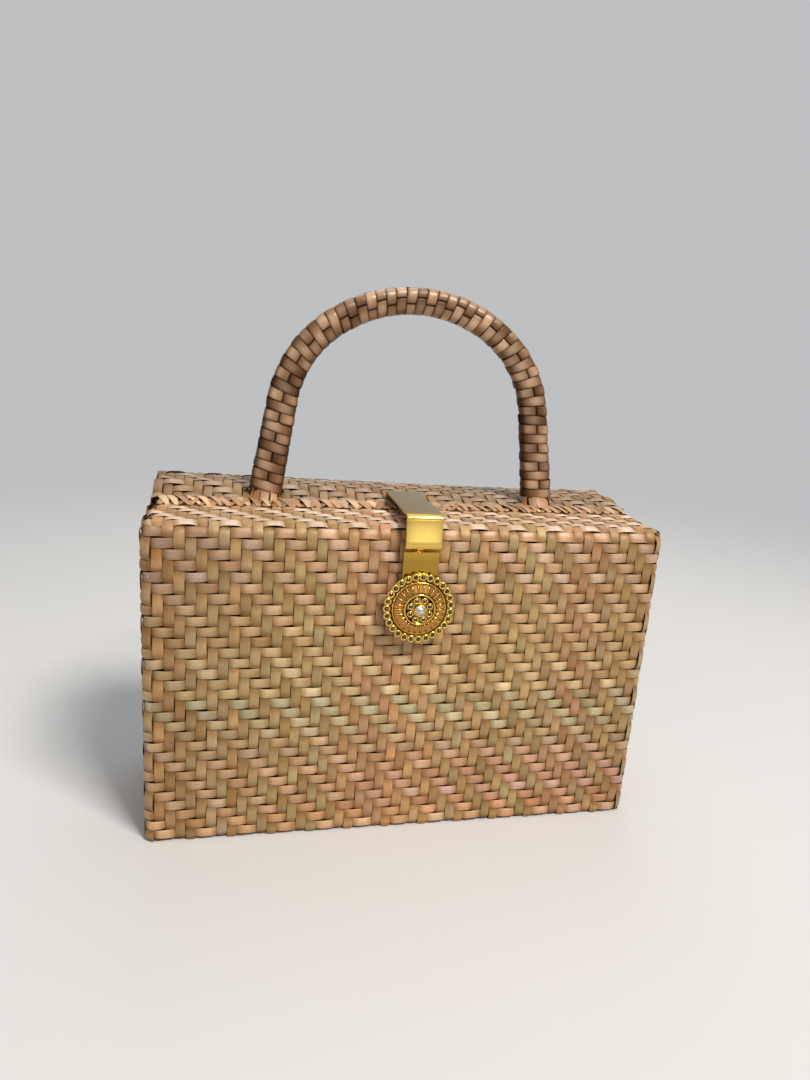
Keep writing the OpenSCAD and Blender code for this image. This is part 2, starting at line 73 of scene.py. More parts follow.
def fade(x, start, stop):
    # 0 up to the start, 1 from the stop on, and a straight line between them
    return np.clip((x - start) / (stop - start), 0, 1)


def bell(x, middle, width):
    return np.exp(-(((x - middle) / width) ** 2))


def xyz(x, y, z):
    # points from coordinates whose shapes fit each other
    return np.stack(np.broadcast_arrays(x, y, z), -1)


def unit(vectors):
    return vectors / np.linalg.norm(vectors, axis=-1, keepdims=True)


straw = {
    "tan": linear(176, 134, 88),
    "gold": linear(178, 140, 86),
    "green": linear(168, 150, 102),
    "salmon": linear(182, 125, 92),
    "pink": linear(178, 134, 98),
    "warpTan": linear(158, 119, 69),
    "warpOlive": linear(142, 118, 68),
    "warpPink": linear(160, 111, 71),
    # partly painted light: the ledge's strips are paler than those of the walls because the ledge faces up
    "ledge": linear(200, 164, 128),
    "lidTan": linear(146, 118, 88),
    "cream": linear(204, 170, 132),
    "brown": linear(136, 103, 72),
    "chestnut": linear(112, 81, 55),
    # painted shade: dark is the colour of the sheets laid where only shade is seen, under the lid's fold and
    # inside the handle
    "dark": linear(92, 62, 38),
}


def newMaterial(name):
    material = bpy.data.materials.new(name)
    material.use_nodes = True
    return material, material.node_tree, material.node_tree.nodes["Principled BSDF"]


def feed(tree, node, inputs):
    # the output of another node is linked to the input, any other value is set on it
    for key, value in inputs.items():
        if isinstance(value, bpy.types.NodeSocket):
            tree.links.new(value, node.inputs[key])
        else:
            node.inputs[key].default_value = value


def addNode(tree, kind, output, inputs=None, **settings):
    # makes a shader node and gives back the named output
    node = tree.nodes.new("ShaderNode" + kind)
    for key, value in settings.items():
        setattr(node, key, value)
    feed(tree, node, inputs or {})
    return node.outputs[output]


def noise(tree, place, scale, detail, **more):
    return addNode(tree, "TexNoise", "Fac", {"Vector": place, "Scale": scale, "Detail": detail, **more})


def stretched(tree, place, stretch):
    return addNode(tree, "Mapping", "Vector", {"Vector": place, "Scale": stretch})


def ranged(tree, value, low, high, toLow, toHigh):
    # straight from toLow to toHigh while the value goes from low to high
    limits = {"From Min": low, "From Max": high, "To Min": toLow, "To Max": toHigh}
    return addNode(tree, "MapRange", "Result", {"Value": value, **limits})


def combined(tree, operation, first, second):
    return addNode(tree, "Math", "Value", {0: first, 1: second}, operation=operation)


def relief(tree, height, strength, distance):
    return addNode(tree, "Bump", "Normal", {"Height": height, "Strength": strength, "Distance": distance})


def blended(tree, amount, dark, pale):
    colours = {"A": (*dark, 1), "B": (*pale, 1)}
    return addNode(tree, "Mix", "Result", {"Factor": amount, **colours}, data_type="RGBA")


strawLook = {
    "fibre": (1.6, 34.0, 1.0),  # stretch of the fine streaks along the strip
    "blotch": (0.9, 2.2, 1.0),
    "blotchLevel": (0.3, 0.7, 0.9, 1.08),
    "speck": (5.0, 9.0, 1.0),
    "speckLevel": (0.72, 0.78, 1.0, 0.5),
    "gloss": (0.02, 0.22, 0.02, 0.62),  # grey of the tint, and the gloss it gets
    "depth": 0.0002,
}


def strawMaterial(name, roughLow, roughHigh, streak, bump):
    # tint of the strip, which carries painted shade and painted highlight, times fine streaks, soft blotches
    # and a few dark specks; the gloss follows the tint's grey, so gaps painted dark as shade have no gloss
    material, tree, shader = newMaterial(name)
    tint = addNode(tree, "Attribute", "Color", attribute_name="tint")
    uv = addNode(tree, "UVMap", "UV", uv_map="UVMap")
    fibre = noise(tree, stretched(tree, uv, strawLook["fibre"]), 1.0, 4.0, Roughness=0.6)
    blotch = noise(tree, stretched(tree, uv, strawLook["blotch"]), 1.3, 3.0)
    speck = noise(tree, stretched(tree, uv, strawLook["speck"]), 2.0, 1.0)
    level = ranged(tree, fibre, 0.25, 0.75, 1 - streak, 1 + streak)
    level = combined(tree, "MULTIPLY", level, ranged(tree, blotch, *strawLook["blotchLevel"]))
    level = combined(tree, "MULTIPLY", level, ranged(tree, speck, *strawLook["speckLevel"]))
    grey = addNode(tree, "RGBToBW", "Val", {"Color": tint})
    colour = addNode(tree, "VectorMath", "Vector", {"Vector": tint, "Scale": level}, operation="SCALE")
    feed(tree, shader, {
        "Base Color": colour,
        "Roughness": ranged(tree, fibre, 0.3, 0.7, roughLow, roughHigh),
        "Normal": relief(tree, fibre, bump, strawLook["depth"]),
        "Specular IOR Level": ranged(tree, grey, *strawLook["gloss"]),
    })
    return material


def metalMaterial(name, colour, roughness, wear, paintedLightAndTarnish=None):
    # metal of slightly varied roughness with a soft ripple; the last argument names the attribute that
    # multiplies its colour, which holds painted shade, painted reflection and tarnish
    material, tree, shader = newMaterial(name)
    base = (*colour, 1)
    if paintedLightAndTarnish:
        lightAndTarnishTint = addNode(tree, "Attribute", "Color", attribute_name=paintedLightAndTarnish)
        base = addNode(tree, "VectorMath", "Vector", {0: tuple(colour), 1: lightAndTarnishTint}, operation="MULTIPLY")
    place = addNode(tree, "TexCoord", "Object")
    cloud = noise(tree, place, 160.0, 3.0)
    ripple = noise(tree, place, 60.0, 1.0)
    feed(tree, shader, {
        "Base Color": base,
        "Metallic": 1.0,
        "Roughness": ranged(tree, cloud, 0.3, 0.7, roughness, roughness + wear),
        "Normal": relief(tree, ripple, 0.12, 0.0004),
    })
    return material


def stoneMaterial(name, colour, roughness, metallic):
    # cut glass read as a glossy coloured body under a clear coat, cloudier in places
    material, tree, shader = newMaterial(name)
    cloud = noise(tree, addNode(tree, "TexCoord", "Object"), 420.0, 2.0)
    feed(tree, shader, {
        "Base Color": blended(tree, cloud, 0.55 * colour, np.minimum(1.35 * colour, 1)),
        "Roughness": roughness,
        "Metallic": metallic,
        "Coat Weight": 0.3,
        "Coat Roughness": 0.03,
    })
    return material


def clothMaterial(name, colour, scale):
    # plain cotton: two crossed fine waves as threads, with soft blotches
    material, tree, shader = newMaterial(name)
    place = addNode(tree, "TexCoord", "Object")
    wave = {"Vector": place, "Scale": scale, "Distortion": 1.0}
    upright, level = (addNode(tree, "TexWave", "Fac", wave, bands_direction=way) for way in "XZ")
    threads = combined(tree, "MULTIPLY", upright, level)
    feed(tree, shader, {
        "Base Color": blended(tree, noise(tree, place, 30.0, 3.0), 0.8 * colour, colour),
        "Roughness": 0.9,
        "Normal": relief(tree, threads, 0.35, 0.0003),
    })
    return material


def grainMaterial(name, colour, stretch):
    # matt fibrous stuff such as card, cane and bound straw: noise stretched along the fibres
    material, tree, shader = newMaterial(name)
    grain = noise(tree, stretched(tree, addNode(tree, "TexCoord", "Object"), stretch), 1.0, 4.0)
    feed(tree, shader, {
        "Base Color": blended(tree, grain, 0.62 * colour, np.minimum(1.2 * colour, 1)),
        "Roughness": 0.75,
        "Normal": relief(tree, grain, 0.3, 0.0004),
    })
    return material


weftStraw = strawMaterial("weftStraw", 0.26, 0.44, 0.28, 0.6)
warpStraw = strawMaterial("warpStraw", 0.36, 0.54, 0.28, 0.6)
handleStraw = strawMaterial("handleStraw", 0.24, 0.4, 0.26, 0.5)
goldMetal = metalMaterial("goldMetal", linear(226, 190, 100), 0.16, 0.1)
# painted light: the tint attribute carries a painted reflection on the strap, and painted shade with tarnish
# on the setting
goldWithPaintedLightAndTarnish = metalMaterial("goldWithPaintedLightAndTarnish", linear(226, 190, 100), 0.16, 0.1, "tint")
steelMetal = metalMaterial("steelMetal", linear(178, 178, 174), 0.28, 0.12)
smokeStone = stoneMaterial("smokeStone", linear(84, 66, 42), 0.05, 0.9)
champagneStone = stoneMaterial("champagneStone", linear(190, 130, 56), 0.12, 0.85)
clearStone = stoneMaterial("clearStone", linear(200, 194, 172), 0.04, 0.9)
liningCloth = clothMaterial("liningCloth", linear(214, 198, 168), 900.0)
threadCloth = clothMaterial("threadCloth", linear(176, 146, 104), 2400.0)
cardGrain = grainMaterial("cardGrain", linear(96, 72, 50), (300.0, 300.0, 300.0))
caneGrain = grainMaterial("caneGrain", linear(170, 132, 84), (60.0, 900.0, 900.0))
bindingGrain = grainMaterial("bindingGrain", linear(168, 126, 80), (700.0, 120.0, 120.0))
print("stage: materials made")


def makeMesh(name, points, quads, material, uv=None, tint=None, smooth=True):
    # points in millimetres, quads as rows of four indices
    mesh = bpy.data.meshes.new(name)
    points = np.asarray(points, np.float32).reshape(-1, 3) * 0.001
    quads = np.asarray(quads, np.int32).reshape(-1, 4)
    mesh.vertices.add(len(points))
    mesh.vertices.foreach_set("co", points.ravel())
    mesh.loops.add(quads.size)
    mesh.loops.foreach_set("vertex_index", quads.ravel())
    mesh.polygons.add(len(quads))
    mesh.polygons.foreach_set("loop_start", np.arange(0, quads.size, 4, dtype=np.int32))
    mesh.polygons.foreach_set("use_smooth", np.full(len(quads), smooth))
    if uv is not None:
        layer = mesh.uv_layers.new(name="UVMap")
        flat = np.asarray(uv, np.float32).reshape(-1, 2)[quads.ravel()]
        layer.data.foreach_set("uv", flat.ravel())
    if tint is not None:
        colours = mesh.color_attributes.new("tint", "FLOAT_COLOR", "POINT")
        rgba = np.ones((len(points), 4), np.float32)
        rgba[:, :3] = np.asarray(tint, np.float32).reshape(-1, 3)
        colours.data.foreach_set("color", rgba.ravel())
    mesh.update(calc_edges=True)
    mesh.validate()
    mesh.materials.append(material)
    piece = bpy.data.objects.new(name, mesh)
    bpy.context.scene.collection.objects.link(piece)
    return piece


def settle(piece, body, slotName, *nodes):
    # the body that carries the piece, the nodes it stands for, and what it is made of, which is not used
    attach(piece, body)
    if nodes:
        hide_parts(*nodes)


def gridQuads(strips, along, across, closedAlong=False, closedAcross=False, flip=False):
    # indices of a stack of grids, each along by across points; flip turns the faces over
    i = np.arange(along if closedAlong else along - 1)[:, None]
    j = np.arange(across if closedAcross else across - 1)[None, :]
    nextRow, nextColumn = (i + 1) % along, (j + 1) % across
    a, b = i * across + j, i * across + nextColumn
    c, d = nextRow * across + nextColumn, nextRow * across + j
    one = np.stack([d, c, b, a] if flip else [a, b, c, d], -1).reshape(-1, 4)
    return (np.arange(strips)[:, None, None] * along * across + one[None]).reshape(-1, 4)


def joined(groups):
    # several forms as one: each group is points, quads and further rows for its points
    starts = np.cumsum([0] + [len(group[0]) for group in groups])
    quads = np.concatenate([group[1] + start for group, start in zip(groups, starts)])
    points, *more = (np.concatenate(rows) for k, rows in enumerate(zip(*groups)) if k != 1)
    return points, quads, *more


acrossStrip = np.array([-1.0, -0.72, 0.0, 0.72, 1.0])
stripPoints = len(acrossStrip)


def ribbons(middle, normal, side, halfWidth, crown, roll):
    # middle line, plus the half width to each side; nearly flat, with edges rolled down by the crown
    a = acrossStrip
    drop = -crown * (0.35 * a**2 + 0.65 * a**4)
    rise = drop[None, None, :, None] + roll[:, :, None, None] * a[None, None, :, None]
    sideways = side[:, :, None, :] * (halfWidth[:, :, None] * a)[..., None]
    return middle[:, :, None, :] + sideways + normal[:, :, None, :] * rise


def wander(strips, t, amount, low, high):
    # smooth noise along each strip: four sine waves of random whole counts and phases, t from 0 to 1
    counts = rng.integers(low, high + 1, (4, strips, 1))
    phases = rng.uniform(0, 2 * np.pi, (4, strips, 1))
    return amount * (np.sin(2 * np.pi * counts * t[None, None, :] + phases).mean(0) * 1.4)


def overUnder(phase):
    # +1 in the middle of the two strips passed over, -1 under the next two: a cosine pressed flatter by tanh
    wave = np.cos(0.5 * np.pi * (phase - 1)) - 0.03
    return np.tanh(1.75 * wave) / math.tanh(1.75)


def stripUv(length, halfWidth, strips):
    # U runs along the strip in centimetres, V across it, each strip shifted to its own part of the texture
    u = np.broadcast_to(length[..., None] * 0.1, (*length.shape, stripPoints))
    v = (halfWidth[..., None] * acrossStrip) * 0.1 + rng.uniform(0, 40, (strips, 1, 1))
    return np.stack([u + rng.uniform(0, 40, (strips, 1, 1)), v], -1)


def layRibbons(name, points, half, length, tint, material, quads, place):
    # strips as one piece; place is the body, the slot and the nodes that it replaces
    uv = stripUv(np.broadcast_to(length, half.shape), half, len(points))
    settle(makeMesh(name, points, quads, material, uv, np.broadcast_to(tint, points.shape)), *place)


# the twill is counted in columns round the box and rows up its walls; all lengths are in millimetres
weave = {
    "columns": 136,
    "rows": 30,
    "row": 5.5,
    "amplitude": 0.78,
    "crown": 0.5,
    "corner": 4.8,
    "bend": 7.0,
    "inset": 0.85,
    "floor": 1.2,
    "endRound": 4.0,
    "pressFlat": 0.6,
    "pressSink": 0.4,
}

frontEdge = braidLow[1]
halfX = wovenHigh[0] - weave["inset"]
halfY = wovenHigh[1] - weave["inset"]
topZ = wovenHigh[2] - weave["inset"]
bendStart = topZ - weave["bend"]


def perimeter():
    # rounded oblong walked from the left end of the front: lengths, places and angle of the outward normal
    r = weave["corner"]
    lines = [[[-halfX + r, -halfY, -np.pi / 2]]]
    for k, (signX, signY) in enumerate(((1, -1), (1, 1), (-1, 1), (-1, -1))):
        angle = np.radians(np.linspace(90 * k - 90, 90 * k, 13))
        x = signX * (halfX - r) + r * np.cos(angle)
        y = signY * (halfY - r) + r * np.sin(angle)
        lines.append(np.stack([x, y, angle], 1))
    path = np.concatenate(lines)
    steps = np.hypot(*np.diff(path[:, :2], axis=0).T)
    return np.concatenate([[0], np.cumsum(steps)]), path


walkLength, walkPath = perimeter()
around = walkLength[-1]
columnPitch = around / weave["columns"]


def onWall(p):
    x, y, angle = (np.interp(np.mod(p, around), walkLength, column) for column in walkPath.T)
    return x, y, np.cos(angle), np.sin(angle)


def frontBend(v):
    # the front turns back in an arc and runs on level: angle turned, way back, and rise from the bend's start
    bend = weave["bend"]
    beta = np.clip((v - bendStart) / bend, 0, np.pi / 2)
    past = np.maximum(v - bendStart - bend * np.pi / 2, 0)
    return beta, bend * (1 - np.cos(beta)) + past, bend * np.sin(beta)


def roundedEnds(q, end, radius):
    # a level line turned down in an arc at both ends: place, angle turned, fall, and length past the start
    out = np.maximum(np.abs(q) - (end - radius), 0)
    gamma = np.clip(out / radius, 0, np.pi / 2)[None]
    x = np.sign(q) * (np.minimum(np.abs(q), end - radius) + radius * np.sin(gamma))
    return x, gamma, radius * (1 - np.cos(gamma)), out


def bodySurface(p, v):
    # point, normal and upward direction at perimeter length p and height v: the front bends back over
    # the ledge, the ends round off beside it, the rest goes straight up, and the corners are in between
    x, y, nx, ny = onWall(p)
    front = np.clip(-ny, 0, 1)
    beta, back, rise = frontBend(v)
    radius = weave["endRound"]
    over = np.maximum(v - topZ + radius, 0)
    turned = np.clip(over / radius, 0, np.pi / 2)
    besideLedge = (1 - front) * fade(y, frontEdge + 2, frontEdge - 3)
    gamma = turned * besideLedge
    inward = front * back + radius * (1 - np.cos(gamma))
    z = np.minimum(v, bendStart) + front * rise + (1 - front) * np.maximum(v - bendStart, 0)
    z = z - besideLedge * (over - radius * np.sin(turned))
    flat = front * np.cos(beta) + (1 - front) * np.cos(gamma)
    tilt = front * np.sin(beta) + (1 - front) * np.sin(gamma)
    point = xyz(x - nx * inward, y - ny * inward, z)
    return point, unit(xyz(nx * flat, ny * flat, tilt)), unit(xyz(-nx * tilt, -ny * tilt, flat))


def pressDown(lift, y, share=1.0):
    # strips lie flatter where the lid's edge rests on the ledge
    pressed = fade(y, frontEdge - 2, frontEdge + 1) * share
    return lift * (1 - weave["pressFlat"] * pressed) - weave["pressSink"] * pressed


def shade(lift, low):
    # painted shade: strips are darker and warmer where they dive under their neighbours; painted highlight:
    # paler on their crests
    height = lift / weave["amplitude"]
    return low + (1 - low) * ease(fade(height, -0.85, 0.3)) + 0.5 * fade(height, 0.55, 1) ** 2


def toned(tint, level):
    # a darker strip is also warmer, a paler one greyer
    return tint * (0.88 * level[..., None]) ** np.array([0.86, 1.2, 1.95])


def strayHue(strips):
    # each strip a little redder or greener than its neighbours, and lighter or darker
    stray = rng.standard_normal((2, strips, 1, 1)).clip(-2, 2)
    return (1 + 0.09 * stray[0]) * (1 + 0.05 * stray[1] * np.array([1.0, 0.0, -1.4]))


def strayLight(shape, spread):
    return 1 + spread * rng.standard_normal(shape).clip(-2, 2)


def pickOf(pick, first, second, colours):
    # one of three colours by a random number: below the first share, below the second, or the rest
    return np.where(pick < first, colours[0], np.where(pick < second, colours[1], colours[2]))


def floatTone(strips, phase, spread):
    # every float of a strip has its own tone, which changes where it is hidden; phase counts crossings
    number = np.floor((phase + 1) / 4).astype(int)
    number = number - number.min()
    tones = 1 + spread * rng.standard_normal((strips, number.max() + 1)).clip(-2, 2)
    return np.take_along_axis(tones, np.broadcast_to(number, (strips, number.shape[1])), 1)


def banded(ground, bands):
    # a ground colour, moved towards each named colour by that colour's weight
    colour = straw[ground]
    for name, weight in bands:
        colour = colour + (straw[name] - colour) * weight[..., None]
    return colour


def weftTint(x, z):
    # rows change with height: pink at the top, tan, pale green, then salmon near the bottom
    h = z / topZ
    slant = h + 0.0002 * x
    colour = banded("tan", (
        ("pink", 0.6 * bell(h, 0.9, 0.16)),
        ("gold", 0.7 * bell(h, 0.62, 0.14)),
        ("green", 0.8 * bell(slant, 0.42, 0.1)),
        ("salmon", 0.8 * bell(slant, 0.16, 0.12) * np.clip(0.7 + x / 180, 0.1, 1)),
    ))
    # painted shade: darker towards the left end, most of all high up, a little darker towards the right end
    # and near the top
    left, right = fade(-x, 50, 120), fade(x, 70, 120)
    level = (1 - 0.36 * left * (0.25 + 0.95 * h)) * (1 - 0.15 * right) * (1 - 0.08 * h * h)
    return colour * level[..., None]


def warpTint(x):
    # columns change across the front: bands of olive and of pinkish brown
    colour = banded("warpTan", (
        ("warpOlive", 0.7 * np.clip(bell(x, -58, 22) + bell(x, 58, 16) + 0.6 * bell(x, 112, 9), 0, 1)),
        ("warpPink", 0.75 * np.clip(bell(x, -17, 16) + bell(x, 92, 13) + 0.4 * bell(x, -122, 9), 0, 1)),
    ))
    # painted shade: darker towards both ends
    left, right = fade(-x, 60, 120), fade(x, 70, 120)
    return colour * ((1 - 0.22 * left) * (1 - 0.14 * right))[..., None]


def layTwill(name, form, t, surface, lift, pitch, colour, phase, length, material, place, **finish):
    # one family of crossing strips: each strip has its own width, roll and hue, each float its own tone;
    # wandering settings are an amount, and the fewest and most waves along the strip
    point, normal, side = surface
    count, samples = point.shape[:2]
    half = 0.5 * pitch * (form["width"] + wander(count, t, *form["widthStray"]))
    roll = wander(count, t, *form["roll"])
    points = ribbons(point + normal * lift[..., None], normal, side, half, form["crown"], roll)
    if "lightStray" in form:
        tint = colour * (1 + form["lightStray"] * rng.standard_normal((count, 1, 1)))
    else:
        tint = colour * strayHue(count)
    tone = floatTone(count, phase, form["floatStray"])
    if "drift" in form:
        tone = tone + wander(count, t, *form["drift"])
    # shade paints shade and highlight into the tone; the last factor is painted light that the caller may
    # give
    tint = toned(tint, tone * shade(form.get("contrast", 1) * lift, form["hidden"])) * finish.pop("gain", 1)
    quads = gridQuads(count, samples, stripPoints, **finish)
    layRibbons(name, points, half, length, tint[:, :, None, :], material, quads, place)


weft = {
    "perColumn": 5,
    "sway": (0.22, 2, 30),
    "swell": (0.12, 20, 60),
    "raise": 0.03,
    "crown": weave["crown"],
    "width": 0.88,
    "widthStray": (0.045, 5, 60),
    "roll": (0.1, 20, 70),
    "floatStray": 0.1,
    "drift": (0.06, 4, 30),
    "hidden": 0.16,
}


def weftLoops():
    # horizontal strips, closed round the body
    rows, samples = weave["rows"], weave["columns"] * weft["perColumn"]
    t = np.arange(samples) / samples
    p = np.broadcast_to(t * around, (rows, samples))
    index = np.arange(rows)[:, None]
    v = weave["floor"] + (index + 0.5) * weave["row"] + wander(rows, t, *weft["sway"])
    surface = bodySurface(p, v)
    swell = weave["amplitude"] * (1 + wander(rows, t, *weft["swell"]))
    phase = p / columnPitch + index
    lift = swell * overUnder(phase) + weft["raise"]
    colour = weftTint(surface[0][..., 0], surface[0][..., 2])
    layTwill(
        "weftStrips", weft, t, surface, lift, weave["row"], colour, phase, p, weftStraw,
        ("body", "straw", "woven_body"), closedAlong=True, flip=True,
    )


warp = {
    "start": 0.4,
    "sway": (0.2, 1, 9),
    "swell": (0.12, 6, 18),
    "crown": weave["crown"],
    "width": 0.965,
    "widthStray": (0.035, 2, 14),
    "roll": (0.1, 6, 20),
    "floatStray": 0.09,
    "drift": (0.06, 1, 9),
    "hidden": 0.14,
    "footTuck": 0.6,
    "footTuckBelow": 3.0,
    "endTuckFrom": 0.97,
    # painted light: the strips are painted paler where they come over the ledge and face up
    "ledgeLightGain": np.array([0.16, 0.1, 0.06]),  # the strips are paler where they come over the ledge
    "underLid": 2.5,
    "belowRim": 1.0,
    "front": {"samples": 190, "tuck": 0.4},
    "sides": {"samples": 150, "tuck": 1.0},
}


def warpStrips(name, columns, top, samples, tuck):
    # upright strips at the middle of the given columns, from the bottom to height top along the surface
    count, column = len(columns), columns[:, None]
    t = np.linspace(0, 1, samples)
    v = np.broadcast_to(warp["start"] + t * (top - warp["start"]), (count, samples))
    centre = (column + 0.5) * columnPitch + wander(count, t, *warp["sway"])
    point, normal, up = bodySurface(centre, v)
    swell = weave["amplitude"] * (1 + wander(count, t, *warp["swell"]))
    phase = column + (v - weave["floor"]) / weave["row"]
    lift = pressDown(-swell * overUnder(phase), point[..., 1], fade(normal[..., 2], 0.5, 1))
    lift = lift - tuck * fade(t, warp["endTuckFrom"], 1)
    lift = lift - warp["footTuck"] * fade(v, warp["footTuckBelow"], 0)
    onEnd = np.abs(normal[:, :1, 0]) > 0.5
    colour = np.where(onEnd[..., None], straw["warpTan"], warpTint(point[:, :1, 0]))
    # painted light on the ledge
    gain = 1 + fade(v, bendStart, bendStart + 8)[..., None] * warp["ledgeLightGain"]
    surface = (point, normal, np.cross(up, normal))
    layTwill(
        name, warp, t, surface, lift, columnPitch, colour, phase + 2, v, warpStraw,
        ("body", "straw"), gain=gain,
    )


ledge = {
    "rows": 7,
    "samples": 250,
    "tuck": 3.0,
    "raise": 0.08,
    "sway": (0.2, 2, 14),
    "crown": weave["crown"],
    "width": 0.9,
    "widthStray": (0.03, 3, 16),
    "roll": (0.07, 10, 30),
    "lightStray": 0.08,
    "floatStray": 0.08,
    "drift": (0.06, 3, 16),
    "hidden": 0.16,
}


def ledgeStrips():
    # strips along the ledge, bent down and tucked in at both ends
    rows, reach = ledge["rows"], halfX + ledge["tuck"]
    q = np.linspace(-reach, reach, ledge["samples"])
    t = (q - q[0]) / (q[-1] - q[0])
    index = weave["rows"] + np.arange(rows)[:, None]
    v = weave["floor"] + (index + 0.5) * weave["row"] + wander(rows, t, *ledge["sway"])
    beta, back, rise = frontBend(v)
    x, gamma, fall, _ = roundedEnds(q, halfX, weave["endRound"])
    y = back - halfY
    point = xyz(x, y, bendStart + rise - fall)
    normal = xyz(np.sign(q) * np.sin(gamma), -np.cos(beta) * np.cos(gamma), np.sin(beta) * np.cos(gamma))
    surface = (point, normal, np.cross(normal, unit(np.gradient(point, axis=1))))
    phase = (q + halfX - weave["corner"]) / columnPitch + index
    lift = weave["amplitude"] * overUnder(phase) + ledge["raise"]
    atEnd = np.abs(q) > halfX - 4
    lift = np.where(atEnd, np.minimum(lift, 0.35 * (halfX - 1.5 - np.abs(q))), lift)
    lift = pressDown(lift, y)
    layTwill(
        "ledgeStrips", ledge, t, surface, lift, weave["row"], straw["ledge"], phase, q, weftStraw,
        ("body", "straw"), flip=True,
    )


ledgeTop = bendStart + weave["bend"] * np.pi / 2 + (frontEdge + warp["underLid"] + halfY - weave["bend"])
columnIndex = np.arange(weave["columns"])
onFront = onWall((columnIndex + 0.5) * columnPitch)[3] < -0.999
weftLoops()
warpStrips("frontWarps", columnIndex[onFront], ledgeTop, **warp["front"])
warpStrips("sideWarps", columnIndex[~onFront], wovenHigh[2] - warp["belowRim"], **warp["sides"])
ledgeStrips()
print("stage: body woven")


lid = {
    "rows": 7,
    "columns": 52,
    "inset": 1.2,
    "amplitude": 0.66,
    "edge": 3.6,
    "middle": 1.4,
    "twist": 2.9,
    "droop": 2.6,
    "droopFrom": 19.0,
}
lidLeft, lidRight = lidLow[0] + lid["inset"], lidHigh[0] - lid["inset"]
lidPitchX = (lidRight - lidLeft) / lid["columns"]
lidPitchY = (lidHigh[1] - lidLow[1]) / lid["rows"]


def lidHeight(x, y):
    # middle of the lid's weave: the old lid is a little twisted, so that it rises to the left,
    # and it droops to its front edge and to the hinge
    rise = np.maximum(lid["middle"] - lid["twist"] * x / lidHigh[0], -0.3)
    rise = rise * (1 - fade(y, lidHigh[1] - 3.5, lidHigh[1]) ** 2)
    front = ease(fade(y, lid["droopFrom"], 0))
    return lidHigh[2] - 0.65 + rise * (1 - 0.85 * front) - lid["droop"] * front


def lidNormal(x, y):
    slope = lidHeight(x, y + 0.5) - lidHeight(x, y - 0.5)
    return unit(xyz(0 * slope, -slope, 1.0))


lidLong = {
    "samples": 280,
    "tuck": 3.0,
    "raise": 0.05,
    "sway": (0.2, 2, 14),
    "crown": 0.4,
    "width": 0.87,
    "widthStray": (0.03, 3, 16),
    "roll": (0.06, 10, 30),
    "lightStray": 0.1,
    "floatStray": 0.1,
    "drift": (0.08, 3, 16),
    "hidden": 0.06,
}


def lidLongStrips():
    # the same twill laid flat: long strips that turn down at both ends
    rows, edge = lid["rows"], lid["edge"]
    q = np.linspace(lidLeft - lidLong["tuck"], lidRight + lidLong["tuck"], lidLong["samples"])
    t = (q - q[0]) / (q[-1] - q[0])
    index = np.arange(rows)[:, None]
    x, gamma, fall, out = roundedEnds(q, lidRight, edge)
    y = lidLow[1] + (index + 0.5) * lidPitchY + wander(rows, t, *lidLong["sway"])
    z = lidHeight(x, y)
    fall = fall + np.maximum(out - edge * np.pi / 2, 0)
    point = xyz(x, y, z - fall * (z - lidLow[2] - 0.2) / fall.max())
    normal = xyz(np.sign(q) * np.sin(gamma), 0 * y, 0 * y) + lidNormal(x, y) * np.cos(gamma)[..., None]
    surface = (point, normal, np.cross(normal, unit(np.gradient(point, axis=1))))
    phase = (q - lidLeft) / lidPitchX + index + 1
    lift = lid["amplitude"] * overUnder(phase) + lidLong["raise"]
    layTwill(
        "lidLongStrips", lidLong, t, surface, lift, lidPitchY, straw["lidTan"], phase, q, weftStraw,
        ("lid", "straw", "lid_mat"), flip=True,
    )


lidShort = {
    "samples": 46,
    "forward": 1.0,
    "sway": (0.15, 1, 3),
    "crown": 0.4,
    "width": 0.9,
    "widthStray": (0.03, 1, 4),
    "roll": (0.06, 1, 5),
    "lightStray": 0.09,
    "floatStray": 0.1,
    "hidden": 0.05,
    "hue": np.array([0.86, 0.9, 1.02]),
}


def lidShortStrips():
    # short strips from the folded edge to the back
    count = lid["columns"]
    w = np.linspace(lidLow[1] - lidShort["forward"], lidHigh[1], lidShort["samples"])
    t = (w - w[0]) / (w[-1] - w[0])
    column = np.arange(count)[:, None]
    x = lidLeft + (column + 0.5) * lidPitchX + wander(count, t, *lidShort["sway"])
    point = xyz(x, w, lidHeight(x, w))
    surface = (point, lidNormal(x, w), np.broadcast_to([1.0, 0.0, 0.0], point.shape))
    phase = column + (w - lidLow[1]) / lidPitchY + 1
    lift = -lid["amplitude"] * overUnder(phase)
    colour = warpTint(x) * lidShort["hue"]
    layTwill(
        "lidShortStrips", lidShort, t, surface, lift, lidPitchX, colour, phase + 2, w, warpStraw,
        ("lid", "straw", "lid_board"),
    )


binding = {"samples": 40, "crown": 0.3, "roll": (0.1, 2, 6), "foot": 0.15, "under": 0.45, "tone": 0.8}


